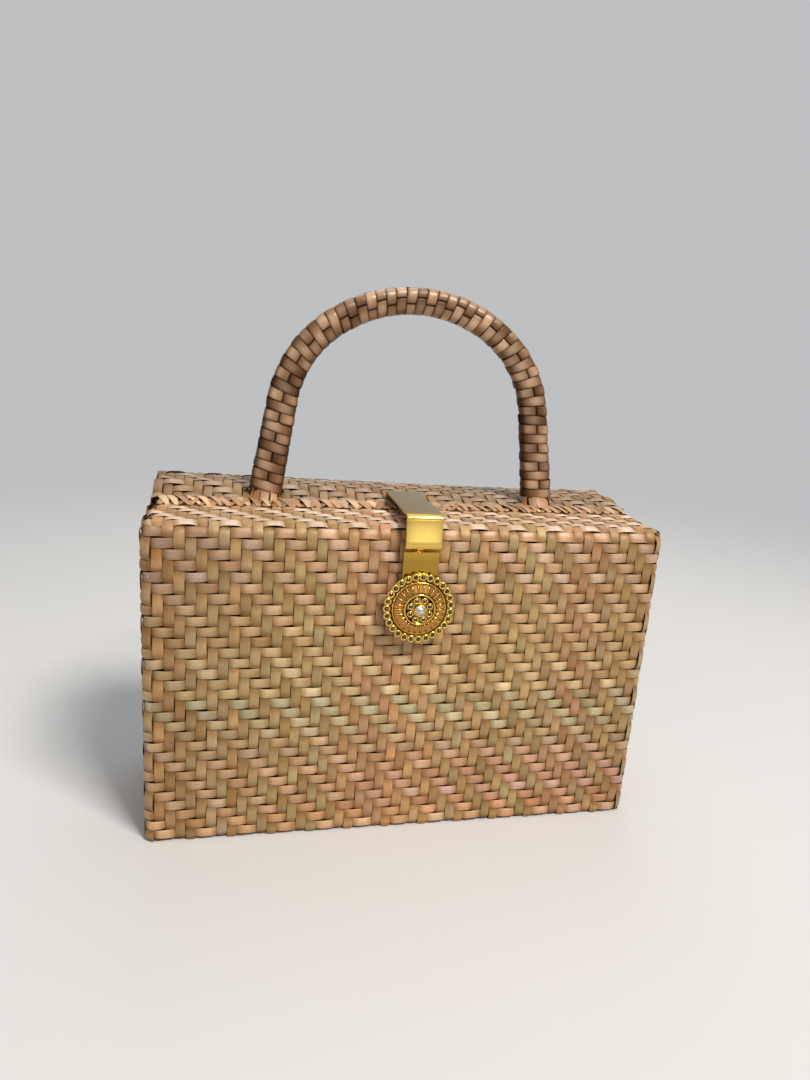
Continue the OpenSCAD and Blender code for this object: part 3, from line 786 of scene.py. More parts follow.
def lidEnds():
    # a binding strip stands under each end of the lid, from the rim up to the weave
    samples = binding["samples"]
    w = np.linspace(lidLow[1] + 1, lidHigh[1] - 0.5, samples)[None, :]
    end = np.array([[-1.0], [1.0]])
    top, bottom = lidHeight(end * (lidRight - 1.5), w) - binding["under"], lidLow[2] + binding["foot"]
    point = xyz(end * (lidRight - 1.0), w, 0.5 * (top + bottom))
    normal = np.broadcast_to(np.array([1.0, 0, 0]) * end[..., None], point.shape)
    side = np.broadcast_to([0.0, 0.0, 1.0], point.shape)
    half = 0.5 * (top - bottom)
    roll = wander(2, w[0] / lidHigh[1], *binding["roll"])
    points = ribbons(point, normal, side, half, binding["crown"], roll)
    left, right = (gridQuads(1, samples, stripPoints, flip=flip) for flip in (False, True))
    quads = np.concatenate([left, right + samples * stripPoints])
    tint = straw["warpTan"] * binding["tone"]
    layRibbons("lidEnds", points, half, w, tint, warpStraw, quads, ("lid", "straw"))


lidLongStrips()
lidShortStrips()
lidEnds()

fold = {
    "count": 50,
    "samples": 15,
    "left": 5.0,
    "right": 4.0,
    "back": 1.6,
    "forward": 0.9,
    "sink": 0.45,
    "layer": 0.45,
    "stray": 0.9,
    "past": 0.8,
    "twist": 0.25,
    "slant": (0.6, 1.4),  # least and most, as of the next three
    "reach": (0.8, 1.0),
    "bow": (0.4, 1.3),
    "width": (0.78, 0.98),
    "narrows": 0.55,
    "crown": 0.25,
    "lightStray": 0.12,
    "colours": (("tan", "warpPink", "brown"), ("pink", "cream", "tan")),  # of the lower and the upper layer
}


def lidEdge():
    # strip ends that cross along the lid's front edge as a flat zigzag: each comes out from under the weave,
    # runs forward and down at a slant and turns in at the ledge; those that slant to the right lie on top
    count, samples = fold["count"], fold["samples"]
    t = np.linspace(0, 1, samples)
    x0, x1 = lidLow[0] + fold["left"], lidHigh[0] - fold["right"]
    pitch = (x1 - x0) / count
    back, front = braidHigh[1] + fold["back"], braidLow[1] - fold["forward"]
    low = wovenHigh[2] - fold["sink"]
    shape = (count, 1)
    layers = []
    for layer, lean in enumerate((-1, 1)):
        slant = lean * pitch * rng.uniform(*fold["slant"], shape)
        x = x0 + (np.arange(count)[:, None] + 0.5) * pitch + rng.uniform(-fold["stray"], fold["stray"], shape)
        x = np.clip(x + slant * (t - 0.5), x0 - fold["past"], x1 + fold["past"])
        y = back - (back - front) * t * rng.uniform(*fold["reach"], shape)
        high = lidHeight(x, back) + 0.1
        bow = rng.uniform(*fold["bow"], shape) * np.sin(np.pi * t) ** 0.8
        z = low + (high - low) * (1 - t) ** 1.1 + bow + fold["layer"] * layer * (1 - t**4)
        point = xyz(x, y, z)
        along = unit(np.gradient(point, axis=1))
        twist = rng.uniform(-fold["twist"], fold["twist"], shape)
        side = unit(xyz(1.0, -0.6 * along[..., 0] / along[..., 1], twist))
        normal = np.cross(side, along)
        normal = normal * np.sign(normal[..., 2:])
        half = 0.5 * pitch * rng.uniform(*fold["width"], shape) * (1 - fold["narrows"] * t**3)
        points = ribbons(point, normal, side, half, fold["crown"], 0 * x)
        pick = rng.random((count, 1, 1))
        tint = pickOf(pick, 0.4, 0.75, [straw[name] for name in fold["colours"][layer]])
        tint = tint * strayLight((count, 1, 1), fold["lightStray"])
        # painted shade: darker where each strip comes out from under the weave
        tint = tint * (0.5 + 0.5 * fade(t, 0, 0.25))[None, :, None]
        uv = stripUv(np.broadcast_to(t * 10, x.shape), half, count)
        layers.append((points, uv, np.broadcast_to(tint[:, :, None, :], points.shape)))
    points, uv, tint = (np.concatenate(rows) for rows in zip(*layers))
    quads = gridQuads(2 * count, samples, stripPoints, flip=True)
    settle(makeMesh("lidFold", points, quads, warpStraw, uv, tint), "lid", "straw_edge", "lid_braid")

    # painted shade: a dark sheet under them, seen in the gaps between them, falls in the same curve
    x = np.linspace(x0 - 1, x1 + 1, 60)[:, None]
    w = np.linspace(0, 1, 9)[None, :]
    y = back + 2 - (back + 2 - front - 0.6) * w
    z = low + (lidHeight(x, back) - 0.7 - low) * (1 - w) ** 1.1
    under = xyz(x, y, z)
    tint = np.broadcast_to(straw["dark"], under.shape)
    uv = np.stack(np.broadcast_arrays(0.1 * x, w), -1)
    shadeSheet = makeMesh("lidFoldShadeSheet", under, gridQuads(1, 60, 9), warpStraw, uv, tint)
    settle(shadeSheet, "lid", "straw_edge")


lidEdge()
print("stage: lid woven")

handle = {
    "strip": 5.15,
    "power": 2.5,
    "foot": 2.6,
    "span": 152.0,
    "lean": math.radians(9),
    "shoulder": 60.0,
    "crown": math.radians(37),
    "topWide": 6.6,
    "footWide": 8.6,
    "shift": 2.0,
    "halfDeep": 0.5 * (wrapHigh[1] - wrapLow[1]) + 0.2,
    "middle": 0.5 * (wrapLow[1] + wrapHigh[1]),
}


def handlePath(s):
    # leaning leg, shoulder arc, flatter arc on top, and the same down again: place and outward normal at
    # length s, and the whole length
    lean, crown, shoulder = handle["lean"], handle["crown"], handle["shoulder"]
    foot, bottom = 0.5 * handle["span"], wrapLow[2]
    rise = coreHigh[2] - 2.5 - bottom
    reachX = foot - shoulder * math.cos(lean)
    reachZ = rise - shoulder * (1 - math.sin(lean))
    share = math.sin(crown) * math.cos(lean) - (1 - math.cos(crown)) * math.sin(lean)
    more = (reachX * math.cos(lean) - reachZ * math.sin(lean)) / share
    leg = (reachZ * math.sin(crown) - reachX * (1 - math.cos(crown))) / share
    top = shoulder + more
    topLength, shoulderLength = top * crown, shoulder * (math.pi / 2 - crown - lean)
    total = 2 * (topLength + shoulderLength + leg)
    u = s - total / 2
    a = np.abs(u)
    angle = np.clip(a, 0, topLength) / top + np.clip(a - topLength, 0, shoulderLength) / shoulder
    radius = np.where(a < topLength, top, shoulder)
    shift = np.where(a < topLength, 0, more)
    beyond = np.maximum(a - topLength - shoulderLength, 0)
    x = shift * math.sin(crown) + radius * np.sin(angle) + beyond * math.sin(lean)
    z = bottom + rise - top + shift * math.cos(crown) + radius * np.cos(angle) - beyond * math.cos(lean)
    sign = np.sign(u)
    middle = xyz(sign * x + handle["shift"], handle["middle"], z)
    return middle, xyz(sign * np.sin(angle), 0.0, np.cos(angle)), total


def handleSkin(s, phi, lift):
    # superellipse section that widens to the feet: phi 0 faces the front, 90 degrees points out of the arch
    centre, outward, length = handlePath(s)
    down = np.abs(2 * s / length - 1) ** 1.6
    a = handle["topWide"] + (handle["footWide"] - handle["topWide"]) * down
    b, q = handle["halfDeep"] * (1 + 0.06 * down), handle["power"]
    radius = (np.abs(np.cos(phi) / b) ** q + np.abs(np.sin(phi) / a) ** q) ** (-1 / q) + lift
    front = np.array([0.0, -1.0, 0.0])
    return centre + (radius * np.cos(phi))[..., None] * front + (radius * np.sin(phi))[..., None] * outward


plait = {
    "reach": 1.75,  # angle from the middle of a face to the end of its strips
    "seam": 0.05,
    "topSeam": 0.3,
    "topFrom": 0.36,  # shares of the length between which every row is two strips
    "topTo": 0.62,
    "along": 9,
    "across": 15,
    "gap": 0.015,
    "fill": 0.99,  # share of its row that a strip takes up
    "slant": 0.85,
    "slantStray": (0.7, 1.25),
    "rise": 0.06,
    "crown": 0.08,
    "edgeDrop": 0.24,
    "dive": 0.4,
    "diveAngle": (0.07, 0.12),  # of a narrow strip and a wide one
    "lean": 0.15,
    "riseStray": 0.12,
    "swell": 0.35,
    "shineAt": (-0.25, 0.35),
    "shineWidth": (0.65, 0.38),  # of a narrow strip and a wide one
    "lightStray": 0.12,
    "colours": (1.15 * straw["brown"], straw["brown"], straw["chestnut"]),
    "fillDepth": 0.75,
    "fillPast": 2.2,
}


def handlePlait():
    # rows of strips across the handle: one wide strip, then two narrow ones side by side;
    # near the top of the arch every row is two narrow strips, staggered
    length = handlePath(np.zeros(1))[2]
    rows = int(round((length - 2 * handle["foot"]) / handle["strip"]))
    pitch = (length - 2 * handle["foot"]) / rows
    reach = plait["reach"]
    cells = []
    for face in (0, 1):
        for row in range(rows):
            middle = handle["foot"] + (row + 0.5) * pitch
            onTop = plait["topFrom"] < middle / length < plait["topTo"]
            seam = plait["topSeam"] * (1 if row % 2 else -1) if onTop else plait["seam"]
            split = onTop or (row + face) % 2 == 1
            stops = (-reach, seam, reach) if split else (-reach, reach)
            cells += [(face, middle, low, high) for low, high in zip(stops, stops[1:])]
    face, middle, low, high = np.array(cells).T[:, :, None, None]
    count, along, across = len(cells), plait["along"], plait["across"]
    each = (count, 1, 1)
    u = np.linspace(-1, 1, along)[None, :, None]
    w = np.linspace(0, 1, across)[None, None, :]
    narrow = (high - low) < 3
    phi = low + plait["gap"] + (high - low - 2 * plait["gap"]) * w
    slant = plait["slant"] * rng.uniform(*plait["slantStray"], each) * np.where(face > 0, -1, 1)
    s = middle + 0.5 * pitch * plait["fill"] * u + slant * phi
    edge = np.minimum(np.abs(phi - low), np.abs(high - phi))
    dive = bell(edge, 0, np.where(narrow, *plait["diveAngle"]))
    lean = rng.standard_normal(each).clip(-2, 2)
    ends = 2 * w - 1
    lift = plait["rise"] - plait["crown"] * u**2 - plait["edgeDrop"] * u**8 - plait["dive"] * dive
    lift = lift + plait["lean"] * u * lean + rng.uniform(-plait["riseStray"], plait["riseStray"], each)
    lift = lift + plait["swell"] * (1 - ends**2) * narrow
    points = handleSkin(s, phi + np.pi * face, lift)

    # painted highlight: each strip shines along its middle; painted shade: it is dark where it dives, at its
    # edges and on the legs' sides; the narrow strips on the left of each leg are lighter, and the right leg
    # is painted lighter
    tint = pickOf(rng.random((count, 1, 1, 1)), 0.3, 0.65, plait["colours"])
    tint = tint * strayLight((count, 1, 1, 1), plait["lightStray"])
    leftSide = np.sign(0.5 * length - middle) * np.sign(low + high - 0.1) * narrow
    shine = bell(ends, rng.uniform(*plait["shineAt"], each), np.where(narrow, *plait["shineWidth"]))
    shine = shine * (1 - 0.35 * u**2)
    paintedLight = (0.55 + 1.12 * shine) * (1 + 0.18 * leftSide)
    paintedLight = paintedLight * (1 - dive**1.8).clip(0.08, 1) * (1 - 0.72 * u**10)
    onLeg = fade(np.abs(2 * middle / length - 1), 0.35, 0.55)
    paintedLight = paintedLight * (1 - 0.65 * onLeg * fade(np.abs(phi), 0.85, 1.15))
    paintedLight = paintedLight * np.where(middle > 0.6 * length, 1.12, 1)
    tint = tint * paintedLight[..., None] ** np.array([0.9, 1.08, 1.4])
    alongU = phi * 0.55 + rng.uniform(0, 40, each)
    acrossV = 0.05 * pitch * u + rng.uniform(0, 40, each)
    uv = np.stack(np.broadcast_arrays(alongU, acrossV), -1)
    quads = gridQuads(count, along, across, flip=True)
    piece = makeMesh("handlePlait", points, quads, handleStraw, uv, tint)
    settle(piece, "lid", "handle_straw", "handle_wrap")

    # painted shade: a dark ground seen between the strips, the same skin, deeper
    turn = np.linspace(0, 2 * np.pi, 24, endpoint=False)
    s = np.linspace(-plait["fillPast"], length + plait["fillPast"], 120)[:, None] + 0 * turn
    points = handleSkin(s, turn + 0 * s, -plait["fillDepth"] + 0 * s)
    tint = np.broadcast_to(straw["dark"] * 0.8, points.shape)
    uv = np.stack(np.broadcast_arrays(s * 0.1, turn * 0.6), -1)
    quads = gridQuads(1, 120, 24, closedAcross=True, flip=True)
    settle(makeMesh("handleShadeSkin", points, quads, handleStraw, uv, tint), "lid", "handle_straw")


handlePlait()

feet = {
    "samples": 11,
    "angles": (-1.2, -0.58, 0.02, 0.62, 1.25, 1.95, 2.6, 3.14, 3.7, 4.35),  # of the strips round a foot
    "angleStray": 0.1,
    "inFront": 5,  # so many of them are in front; what comes in pairs is for the front, then for the rest
    "splayFrom": 0.25,
    "splay": ((0.7, 1.2), (0.3, 1.1)),
    "outX": (0.8, 3.2),
    "outY": (4.6, 3.2),
    "halfWidth": ((2.0, 2.5), (1.8, 2.3)),
    "narrows": 0.15,
    "twist": 0.2,
    "leaves": 8.0,
    "crown": 0.25,
    "lightStray": 0.1,
    "colours": (straw["pink"], straw["tan"], straw["warpPink"]),
}


def handleFeet():
    # strips that leave the plait at each foot and splay out, with dark gaps between them; those in front
    # are wide and reach down over the lid's edge, the others end on the lid
    samples, perFoot = feet["samples"], len(feet["angles"])
    count = 2 * perFoot
    shape = (count, 1)
    t = np.linspace(0, 1, samples)
    foot = np.repeat([-1.0, 1.0], perFoot)[:, None]
    angle = np.tile(feet["angles"], 2)[:, None] + rng.uniform(-feet["angleStray"], feet["angleStray"], shape)
    inFront = np.tile(np.arange(perFoot) < feet["inFront"], 2)[:, None]
    splay = np.where(inFront, *(rng.uniform(*limits, shape) for limits in feet["splay"]))
    splay = fade(t, feet["splayFrom"], 1) ** 1.5 * splay
    wide = handle["footWide"] - 0.6 + np.where(inFront, *feet["outX"]) * splay
    deep = handle["halfDeep"] - 0.4 + np.where(inFront, *feet["outY"]) * splay
    x = handle["shift"] + foot * (0.5 * handle["span"] - 1.2 * (1 - t)) + wide * np.sin(angle)
    y = handle["middle"] - deep * np.cos(angle)
    end = np.where(inFront, wovenHigh[2] + 1.5, lidHeight(x, y) + 0.75)
    point = xyz(x, y, end + (wrapLow[2] + feet["leaves"] - end) * (1 - t) ** 1.25)
    twist = rng.uniform(-feet["twist"], feet["twist"], shape)
    side = xyz(np.cos(angle), np.sin(angle), twist) + 0 * point
    normal = np.cross(unit(np.gradient(point, axis=1)), side)
    outer = xyz(np.sin(angle), -np.cos(angle), 0.3)
    normal = normal * np.sign((normal * outer).sum(-1, keepdims=True))
    half = np.where(inFront, *(rng.uniform(*limits, shape) for limits in feet["halfWidth"]))
    half = half * (1 - feet["narrows"] * t)
    points = ribbons(point, normal, side, half, feet["crown"], 0 * x)
    tint = pickOf(rng.random((count, 1, 1)), 0.45, 0.75, feet["colours"])
    tint = tint * strayLight((count, 1, 1), feet["lightStray"])
    # painted shade: darker where each strip comes out from under the plait
    tint = (tint * (0.5 + 0.5 * fade(t, 0, 0.4))[None, :, None])[:, :, None, :]
    quads = gridQuads(count, samples, stripPoints, flip=True)
    place = ("lid", "straw_edge", "foot_strips")
    layRibbons("footStrips", points, half, t * 9, tint, warpStraw, quads, place)


handleFeet()
print("stage: handle plaited")

strap = {
    "halfWidth": 0.5 * (strapHigh[0] - strapLow[0]),
    "thickness": 1.2,
    "edge": 0.45,
    "riser": 5.0,
    "sink": 3.2,
    "rearBend": 0.9,
    "frontBend": 2.2,
    "facet": 12.5,
    "joggle": 4.2,
    "step": 1.9,
    "tilt": 0.9,
}


def arc(first, second, r, start, stop, count):
    a = np.radians(np.linspace(start, stop, count))
    return np.stack([first + r * np.cos(a), second + r * np.sin(a)], 1)


def strapPiece():
    # bent strip: the middle line in (y, z) is swept with a flat section that has rounded edges. It rises out
    # of the lid, runs level to the front, turns down over a short flat, steps in and drops behind the disc
    h = 0.5 * strap["thickness"]
    bend, rear, step, tilt = (strap[key] for key in ("frontBend", "rearBend", "step", "tilt"))
    topLine = strapHigh[2] - h
    backLine = discHigh[1] + h
    outLine = backLine - step
    riser = lidLow[1] + strap["riser"] + h
    low = topLine - bend - strap["facet"]
    bottom = low - strap["joggle"]
    t = np.linspace(0, 1, 15)[1:]
    turned = [
        [[riser, lidHigh[2] - strap["sink"]]],
        arc(riser - rear, topLine - rear, rear, 0, 90, 7),
        np.stack([np.linspace(riser - 2, outLine + bend + 1, 12), np.full(12, topLine)], 1),
        arc(outLine + bend, topLine - bend, bend, 90, 180, 13),
    ]
    leaning = outLine - tilt * np.linspace(0.05, 1, 9) ** 1.4
    path = np.concatenate([
        *turned,
        np.stack([leaning, np.linspace(topLine - bend - 0.6, low + 1.2, 9)], 1),
        np.stack([outLine - tilt + (step + tilt) * ease(t), low - strap["joggle"] * t], 1),
        [[backLine, bottom - 4], [backLine, strapLow[2]]],
    ])
    direction = unit(np.gradient(path, axis=0))
    across = np.stack([-direction[:, 1], direction[:, 0]], 1)
    r = strap["edge"]
    w, d = strap["halfWidth"] - r, h - r
    corners = ((w, d, 0), (-w, d, 90), (-w, -d, 180), (w, -d, 270))
    section = np.concatenate([arc(x, n, r, start, start + 90, 5) for x, n, start in corners])
    swept = path[:, None, :] + across[:, None, :] * section[None, :, 1:]
    points = xyz(section[None, :, 0], swept[..., 0], swept[..., 1])
    quads = gridQuads(1, len(path), len(section), closedAcross=True, flip=True)
    # painted reflection: the flat in front is painted bright, the level run and the run behind the disc are
    # painted duller
    length = np.concatenate([[0], np.cumsum(np.linalg.norm(np.diff(path, axis=0), axis=1))])
    front = length[sum(map(len, turned))] + 0.5 * strap["facet"]
    bright = 0.5 + 0.55 * np.exp(-(((length - front) / (0.62 * strap["facet"] + bend)) ** 4))
    tint = np.broadcast_to((bright[:, None] ** np.array([0.9, 1.08, 1.6]))[:, None, :], points.shape)
    settle(makeMesh("clasp_strap", points, quads, goldWithPaintedLightAndTarnish, None, tint), "lid", "gold", "strap")


strapPiece()

disc = {
    "beads": 27,
    "baguettes": 26,
    "small": 8,
    "turns": 116,
    "radius": 0.5 * (discHigh[0] - discLow[0]),
    "z": 0.5 * (discLow[2] + discHigh[2]),
    "back": discHigh[1],
    "cupInset": 1.85,
    "cupFill": 1.03,  # the cups overlap a little
    "cupTube": 0.56,
    "beadZ": 2.2,
    "lip": 3.3,  # from the ring of beads in to the cone
    "cone": 8.2,
    "coneRise": 1.5,
    "smallRing": 5.2,
    "smallZ": 4.7,
    "dome": 5.6,
}


def onDisc(points):
    # disc frame to bag frame: its third axis points out of the front
    return xyz(points[..., 0], disc["back"] - points[..., 2], disc["z"] + points[..., 1])


def lathe(profile, turns):
    # a profile of (radius, height) turned round the third axis
    r, z = np.asarray(profile, float).T[:, None, :]
    a = np.linspace(0, 2 * np.pi, turns, endpoint=False)[:, None]
    return xyz(r * np.cos(a), r * np.sin(a), z)


def spread(local, radius, height, count, offset, tilt=0.0):
    # copies of a small form set round the axis at a radius, tipped outwards by tilt
    c, s = math.cos(tilt), math.sin(tilt)
    x, y, z = local.T
    x, y, z = x * c + z * s + radius, y, -x * s + z * c + height
    a = 2 * np.pi * (np.arange(count) + offset)[:, None] / count
    return xyz(np.cos(a) * x - np.sin(a) * y, np.sin(a) * x + np.cos(a) * y, z)


def ringForm(major, minor, turns, sides):
    # small torus
    a = np.linspace(0, 2 * np.pi, turns, endpoint=False)[:, None]
    b = np.linspace(0, 2 * np.pi, sides, endpoint=False)[None, :]
    r = major + minor * np.cos(b)
    points = xyz(r * np.cos(a), r * np.sin(a), minor * np.sin(b)).reshape(-1, 3)
    return points, gridQuads(1, turns, sides, closedAlong=True, closedAcross=True, flip=True)


roseCut = (  # radius and height as shares, and turn in steps, of each ring of facets
    (0.0, 1.0, 0.0),
    (0.3, 0.93, 0.5),
    (0.6, 0.76, 0.0),
    (0.86, 0.45, 0.5),
    (1.0, 0.1, 0.0),
)


def cutStone(radius, crown, sides):
    # rose cut: rings of flat facets from the point down to the girdle, each ring turned by half a step
    rings = [(share, height * crown, turn) for share, height, turn in roseCut] + [(1.0, -0.4, 0.0)]
    share, height, turn = np.array(rings).T[:, :, None]
    a = 2 * np.pi * (np.arange(sides) + turn) / sides
    points = xyz(radius * share * np.cos(a), radius * share * np.sin(a), height).reshape(-1, 3)
    return points, gridQuads(1, len(rings), sides, closedAcross=True, flip=True)


def copies(quads, points):
    # indices for a row of equal forms
    count, size = points.shape[:2]
    return (np.arange(count)[:, None, None] * size + quads[None]).reshape(-1, 4)


def medallion():
    # turned plate with a scalloped rim, bead cups round it, fins on its cone and rings on its dome,
    # and cut stones set in all of them
    radius, beads, bars, small = (disc[key] for key in ("radius", "beads", "baguettes", "small"))
    cup = np.pi * (radius - disc["cupInset"]) / beads * disc["cupFill"]
    ring = radius - cup
    foot, cone = ring - disc["lip"], disc["cone"]
    # the third column is brightness painted into the gold: darker in the grooves and hollows, painted shade
    # together with tarnish
    profile = (  # radius, height and brightness
        (0.01, 0.0, 0.5), (ring - 0.6, 0.0, 0.6), (ring + 0.9, 0.5, 0.9), (ring + 1.1, 1.2, 1.0),
        (ring + 0.2, 1.9, 0.5), (ring - 1.7, 1.9, 0.3), (ring - 2.0, 1.3, 0.18), (ring - 2.5, 1.2, 0.2),
        (ring - 2.7, 2.4, 0.85), (ring - 3.1, 2.6, 1.0), (foot, 2.1, 0.4), (cone, 3.6, 0.4),
        (8.0, 4.4, 0.8), (7.6, 4.7, 1.0), (7.2, 4.5, 0.7), (6.9, 3.5, 0.25),
        (5.5, 3.7, 0.35), (3.4, 4.4, 0.6), (0.01, 4.5, 0.6),
    )
    turns = disc["turns"]
    outline = np.array(profile)
    plate = lathe(outline[:, :2], turns)
    wave = np.linspace(0, 2 * np.pi, turns, endpoint=False)
    scallop = 1 + 0.02 * np.abs(np.cos(0.5 * beads * wave))
    plate[:, 2:5, :2] *= scallop[:, None, None]
    quads = gridQuads(1, turns, len(profile), closedAlong=True, flip=True)
    groups = [(plate.reshape(-1, 3), quads, np.tile(outline[:, 2], turns))]

    def addForms(form, quads, forms):
        # the lower a point lies, the darker: painted shade, together with tarnish in the hollows
        bright = 0.3 + 0.7 * (form[:, 2] - form[:, 2].min()) / np.ptp(form[:, 2])
        groups.append((forms.reshape(-1, 3), copies(quads, forms), np.tile(bright, len(forms))))

    form, quads = ringForm(cup * 0.74, disc["cupTube"], 14, 8)
    addForms(form, quads, spread(form, ring, disc["beadZ"], beads, 0.5))
    form, quads = ringForm(1.3, 0.4, 14, 8)
    addForms(form, quads, spread(form, disc["smallRing"], disc["smallZ"], small, 0.5))
    form, quads = ringForm(2.75, 0.45, 28, 8)
    dome = np.array([0, 0, disc["dome"]])
    addForms(form, quads, (form + dome)[None])
    finOutline = ((-2.4, -0.16), (2.4, -0.24), (2.4, 0.24), (-2.4, 0.16))
    fin = np.array([(*corner, z) for z in (-0.8, 1.05) for corner in finOutline])
    ends, sides = [[0, 3, 2, 1], [4, 5, 6, 7]], [[0, 1, 5, 4], [1, 2, 6, 5], [2, 3, 7, 6], [3, 0, 4, 7]]
    boxQuads = np.array(ends + sides)
    middle = 0.5 * (foot + cone)
    slope = math.atan2(disc["coneRise"], foot - cone)
    addForms(fin, boxQuads, spread(fin, middle, 2.85, bars, 0.0, slope))
    points, quads, bright = joined(groups)
    # painted shade and tarnish, warmer where darker
    paintedLightAndTarnish = bright[:, None] ** np.array([0.85, 1.1, 1.5])
    setting = makeMesh("clasp_setting", onDisc(points), quads, goldWithPaintedLightAndTarnish, None, paintedLightAndTarnish)
    settle(setting, "lid", "gold", "medallion")

    def addStones(name, quads, stones, material, slotName, node):
        piece = makeMesh(name, onDisc(stones), copies(quads, stones), material, smooth=False)
        settle(piece, "lid", slotName, node)

    form, quads = cutStone(cup * 0.64, 0.85, 8)
    stones = spread(form, ring, disc["beadZ"] + 0.05, beads, 0.5)
    addStones("clasp_rim_stones", quads, stones, smokeStone, "stone_smoke", "rim_stones")
    inner, outer = 0.86 * np.pi * 8.4 / bars, 0.8 * np.pi * (ring - 3.4) / bars
    half = 0.5 * (foot - cone) / math.cos(slope) * 0.94
    girdle = [(-half, -inner, -0.5), (half, -outer, -0.5), (half, outer, -0.5), (-half, inner, -0.5)]
    inset = np.array([(0.35, 0.22), (-0.35, 0.3), (-0.35, -0.3), (0.35, -0.22)])
    table = np.array(girdle)
    table[:, :2] += inset
    table[:, 2] = 0.85
    stones = spread(np.concatenate([girdle, table]), middle, 2.75, bars, 0.5, slope)
    addStones("clasp_baguettes", boxQuads, stones, champagneStone, "stone_champagne", "baguette_stones")
    form, quads = cutStone(1.15, 0.8, 8)
    stones = spread(form, disc["smallRing"], disc["smallZ"] - 0.05, small, 0.5)
    addStones("clasp_ring_stones", quads, stones, smokeStone, "stone_clear", "ring_stones")
    form, quads = cutStone(2.6, 1.7, 10)
    addStones("clasp_centre_stone", quads, (form + dome)[None], clearStone, "stone_clear", "centre_stone")


medallion()
print("stage: clasp made")

catch = {"turns": 40, "bevel": 0.5, "well": 0.55, "land": 0.12, "depth": 0.4}


def catchDiscs():
    # turned discs with a bevelled rim, a raised land and a shallow well: the catch on the wall, and the
    # magnet on the strap
    for node, name, body in (("catch_plate", "catch_disc", "body"), ("clasp_magnet", "magnet_disc", "lid")):
        low, high = boxMm(node)
        r, h = 0.5 * (high[0] - low[0]), high[1] - low[1]
        bevel, well, depth = catch["bevel"], catch["well"] * r, catch["depth"]
        profile = [
            (r, 0.05), (r, h - bevel), (r - 0.15, h - 0.15), (r - bevel, h), (well + 0.6, h),
            (well + 0.3, h - catch["land"]), (well, h - depth + 0.05), (0.7 * well, h - depth + 0.02),
            (0.01, h - depth),
        ]
        form = lathe(profile, catch["turns"])
        front, out = (high[1], -1) if body == "body" else (low[1], 1)
        middle = 0.5 * (low + high)
        points = xyz(middle[0] + form[..., 0], front + out * form[..., 2], middle[2] + form[..., 1])
        quads = gridQuads(1, catch["turns"], len(profile), closedAlong=True, flip=out < 0)
        settle(makeMesh(name, points, quads, steelMetal), body, "steel", node)


catchDiscs()

base = {
    "rows": 16,
    "columns": 48,
    "inset": 1.0,
    "height": 0.62,
    "amplitude": 0.36,
    "endTuck": 0.3,
    "sway": (0.15, 1, 6),
    "crown": 0.18,
    "width": 0.92,
    "widthStray": (0.03, 2, 9),
    "roll": (0.03, 2, 9),
    "floatStray": 0.08,
    "hidden": 0.2,
    "contrast": 2,
}


def baseStrips(name, long, samples, colour, material, *nodes):
    # woven bottom: the twill laid flat with its floats facing down, the long strips or the short ones
    reachX, reachY = halfX - base["inset"], halfY - base["inset"]
    pitchX, pitchY = 2 * reachX / base["columns"], 2 * reachY / base["rows"]
    if long:
        count, pitch, other, reach = base["rows"], pitchY, pitchX, reachX
    else:
        count, pitch, other, reach = base["columns"], pitchX, pitchY, reachY
    q = np.linspace(-reach, reach, samples)
    t = (q + reach) / (2 * reach)
    index = np.arange(count)[:, None]
    sideways = (index + 0.5) * pitch - 0.5 * count * pitch + wander(count, t, *base["sway"])
    phase = (q + reach) / other + index
    lift = (1 if long else -1) * base["amplitude"] * overUnder(phase)
    lift = lift - base["endTuck"] * fade(np.minimum(t, 1 - t), 0.125, 0) ** 2
    x, y = (q, sideways) if long else (sideways, q)
    point = xyz(x, y, base["height"])
    normal = np.broadcast_to([0.0, 0.0, -1.0], point.shape)
    side = np.broadcast_to([0.0, 1.0, 0.0] if long else [1.0, 0.0, 0.0], point.shape)
    phase = phase + (0 if long else 2)
    layTwill(
        name, base, t, (point, normal, side), lift, pitch, straw[colour], phase, q, material,
        ("body", "straw", *nodes), flip=not long,
    )


baseStrips("baseLongStrips", True, 240, "tan", weftStraw, "base_mat")
baseStrips("baseShortStrips", False, 80, "warpTan", warpStraw)

hinge = {
    "rod": 2.0,  # from the top and back of the sleeves to the hinge's axis
    "turn": 4.6,
    "radius": 1.72,
    "swell": 0.3,
    "sides": 18,
    "step": 0.45,
    "gap": 0.6,
    "between": 12.0,
    "webFrom": 3.5,
    "webTo": 1.6,
    "webPoints": 4,
}


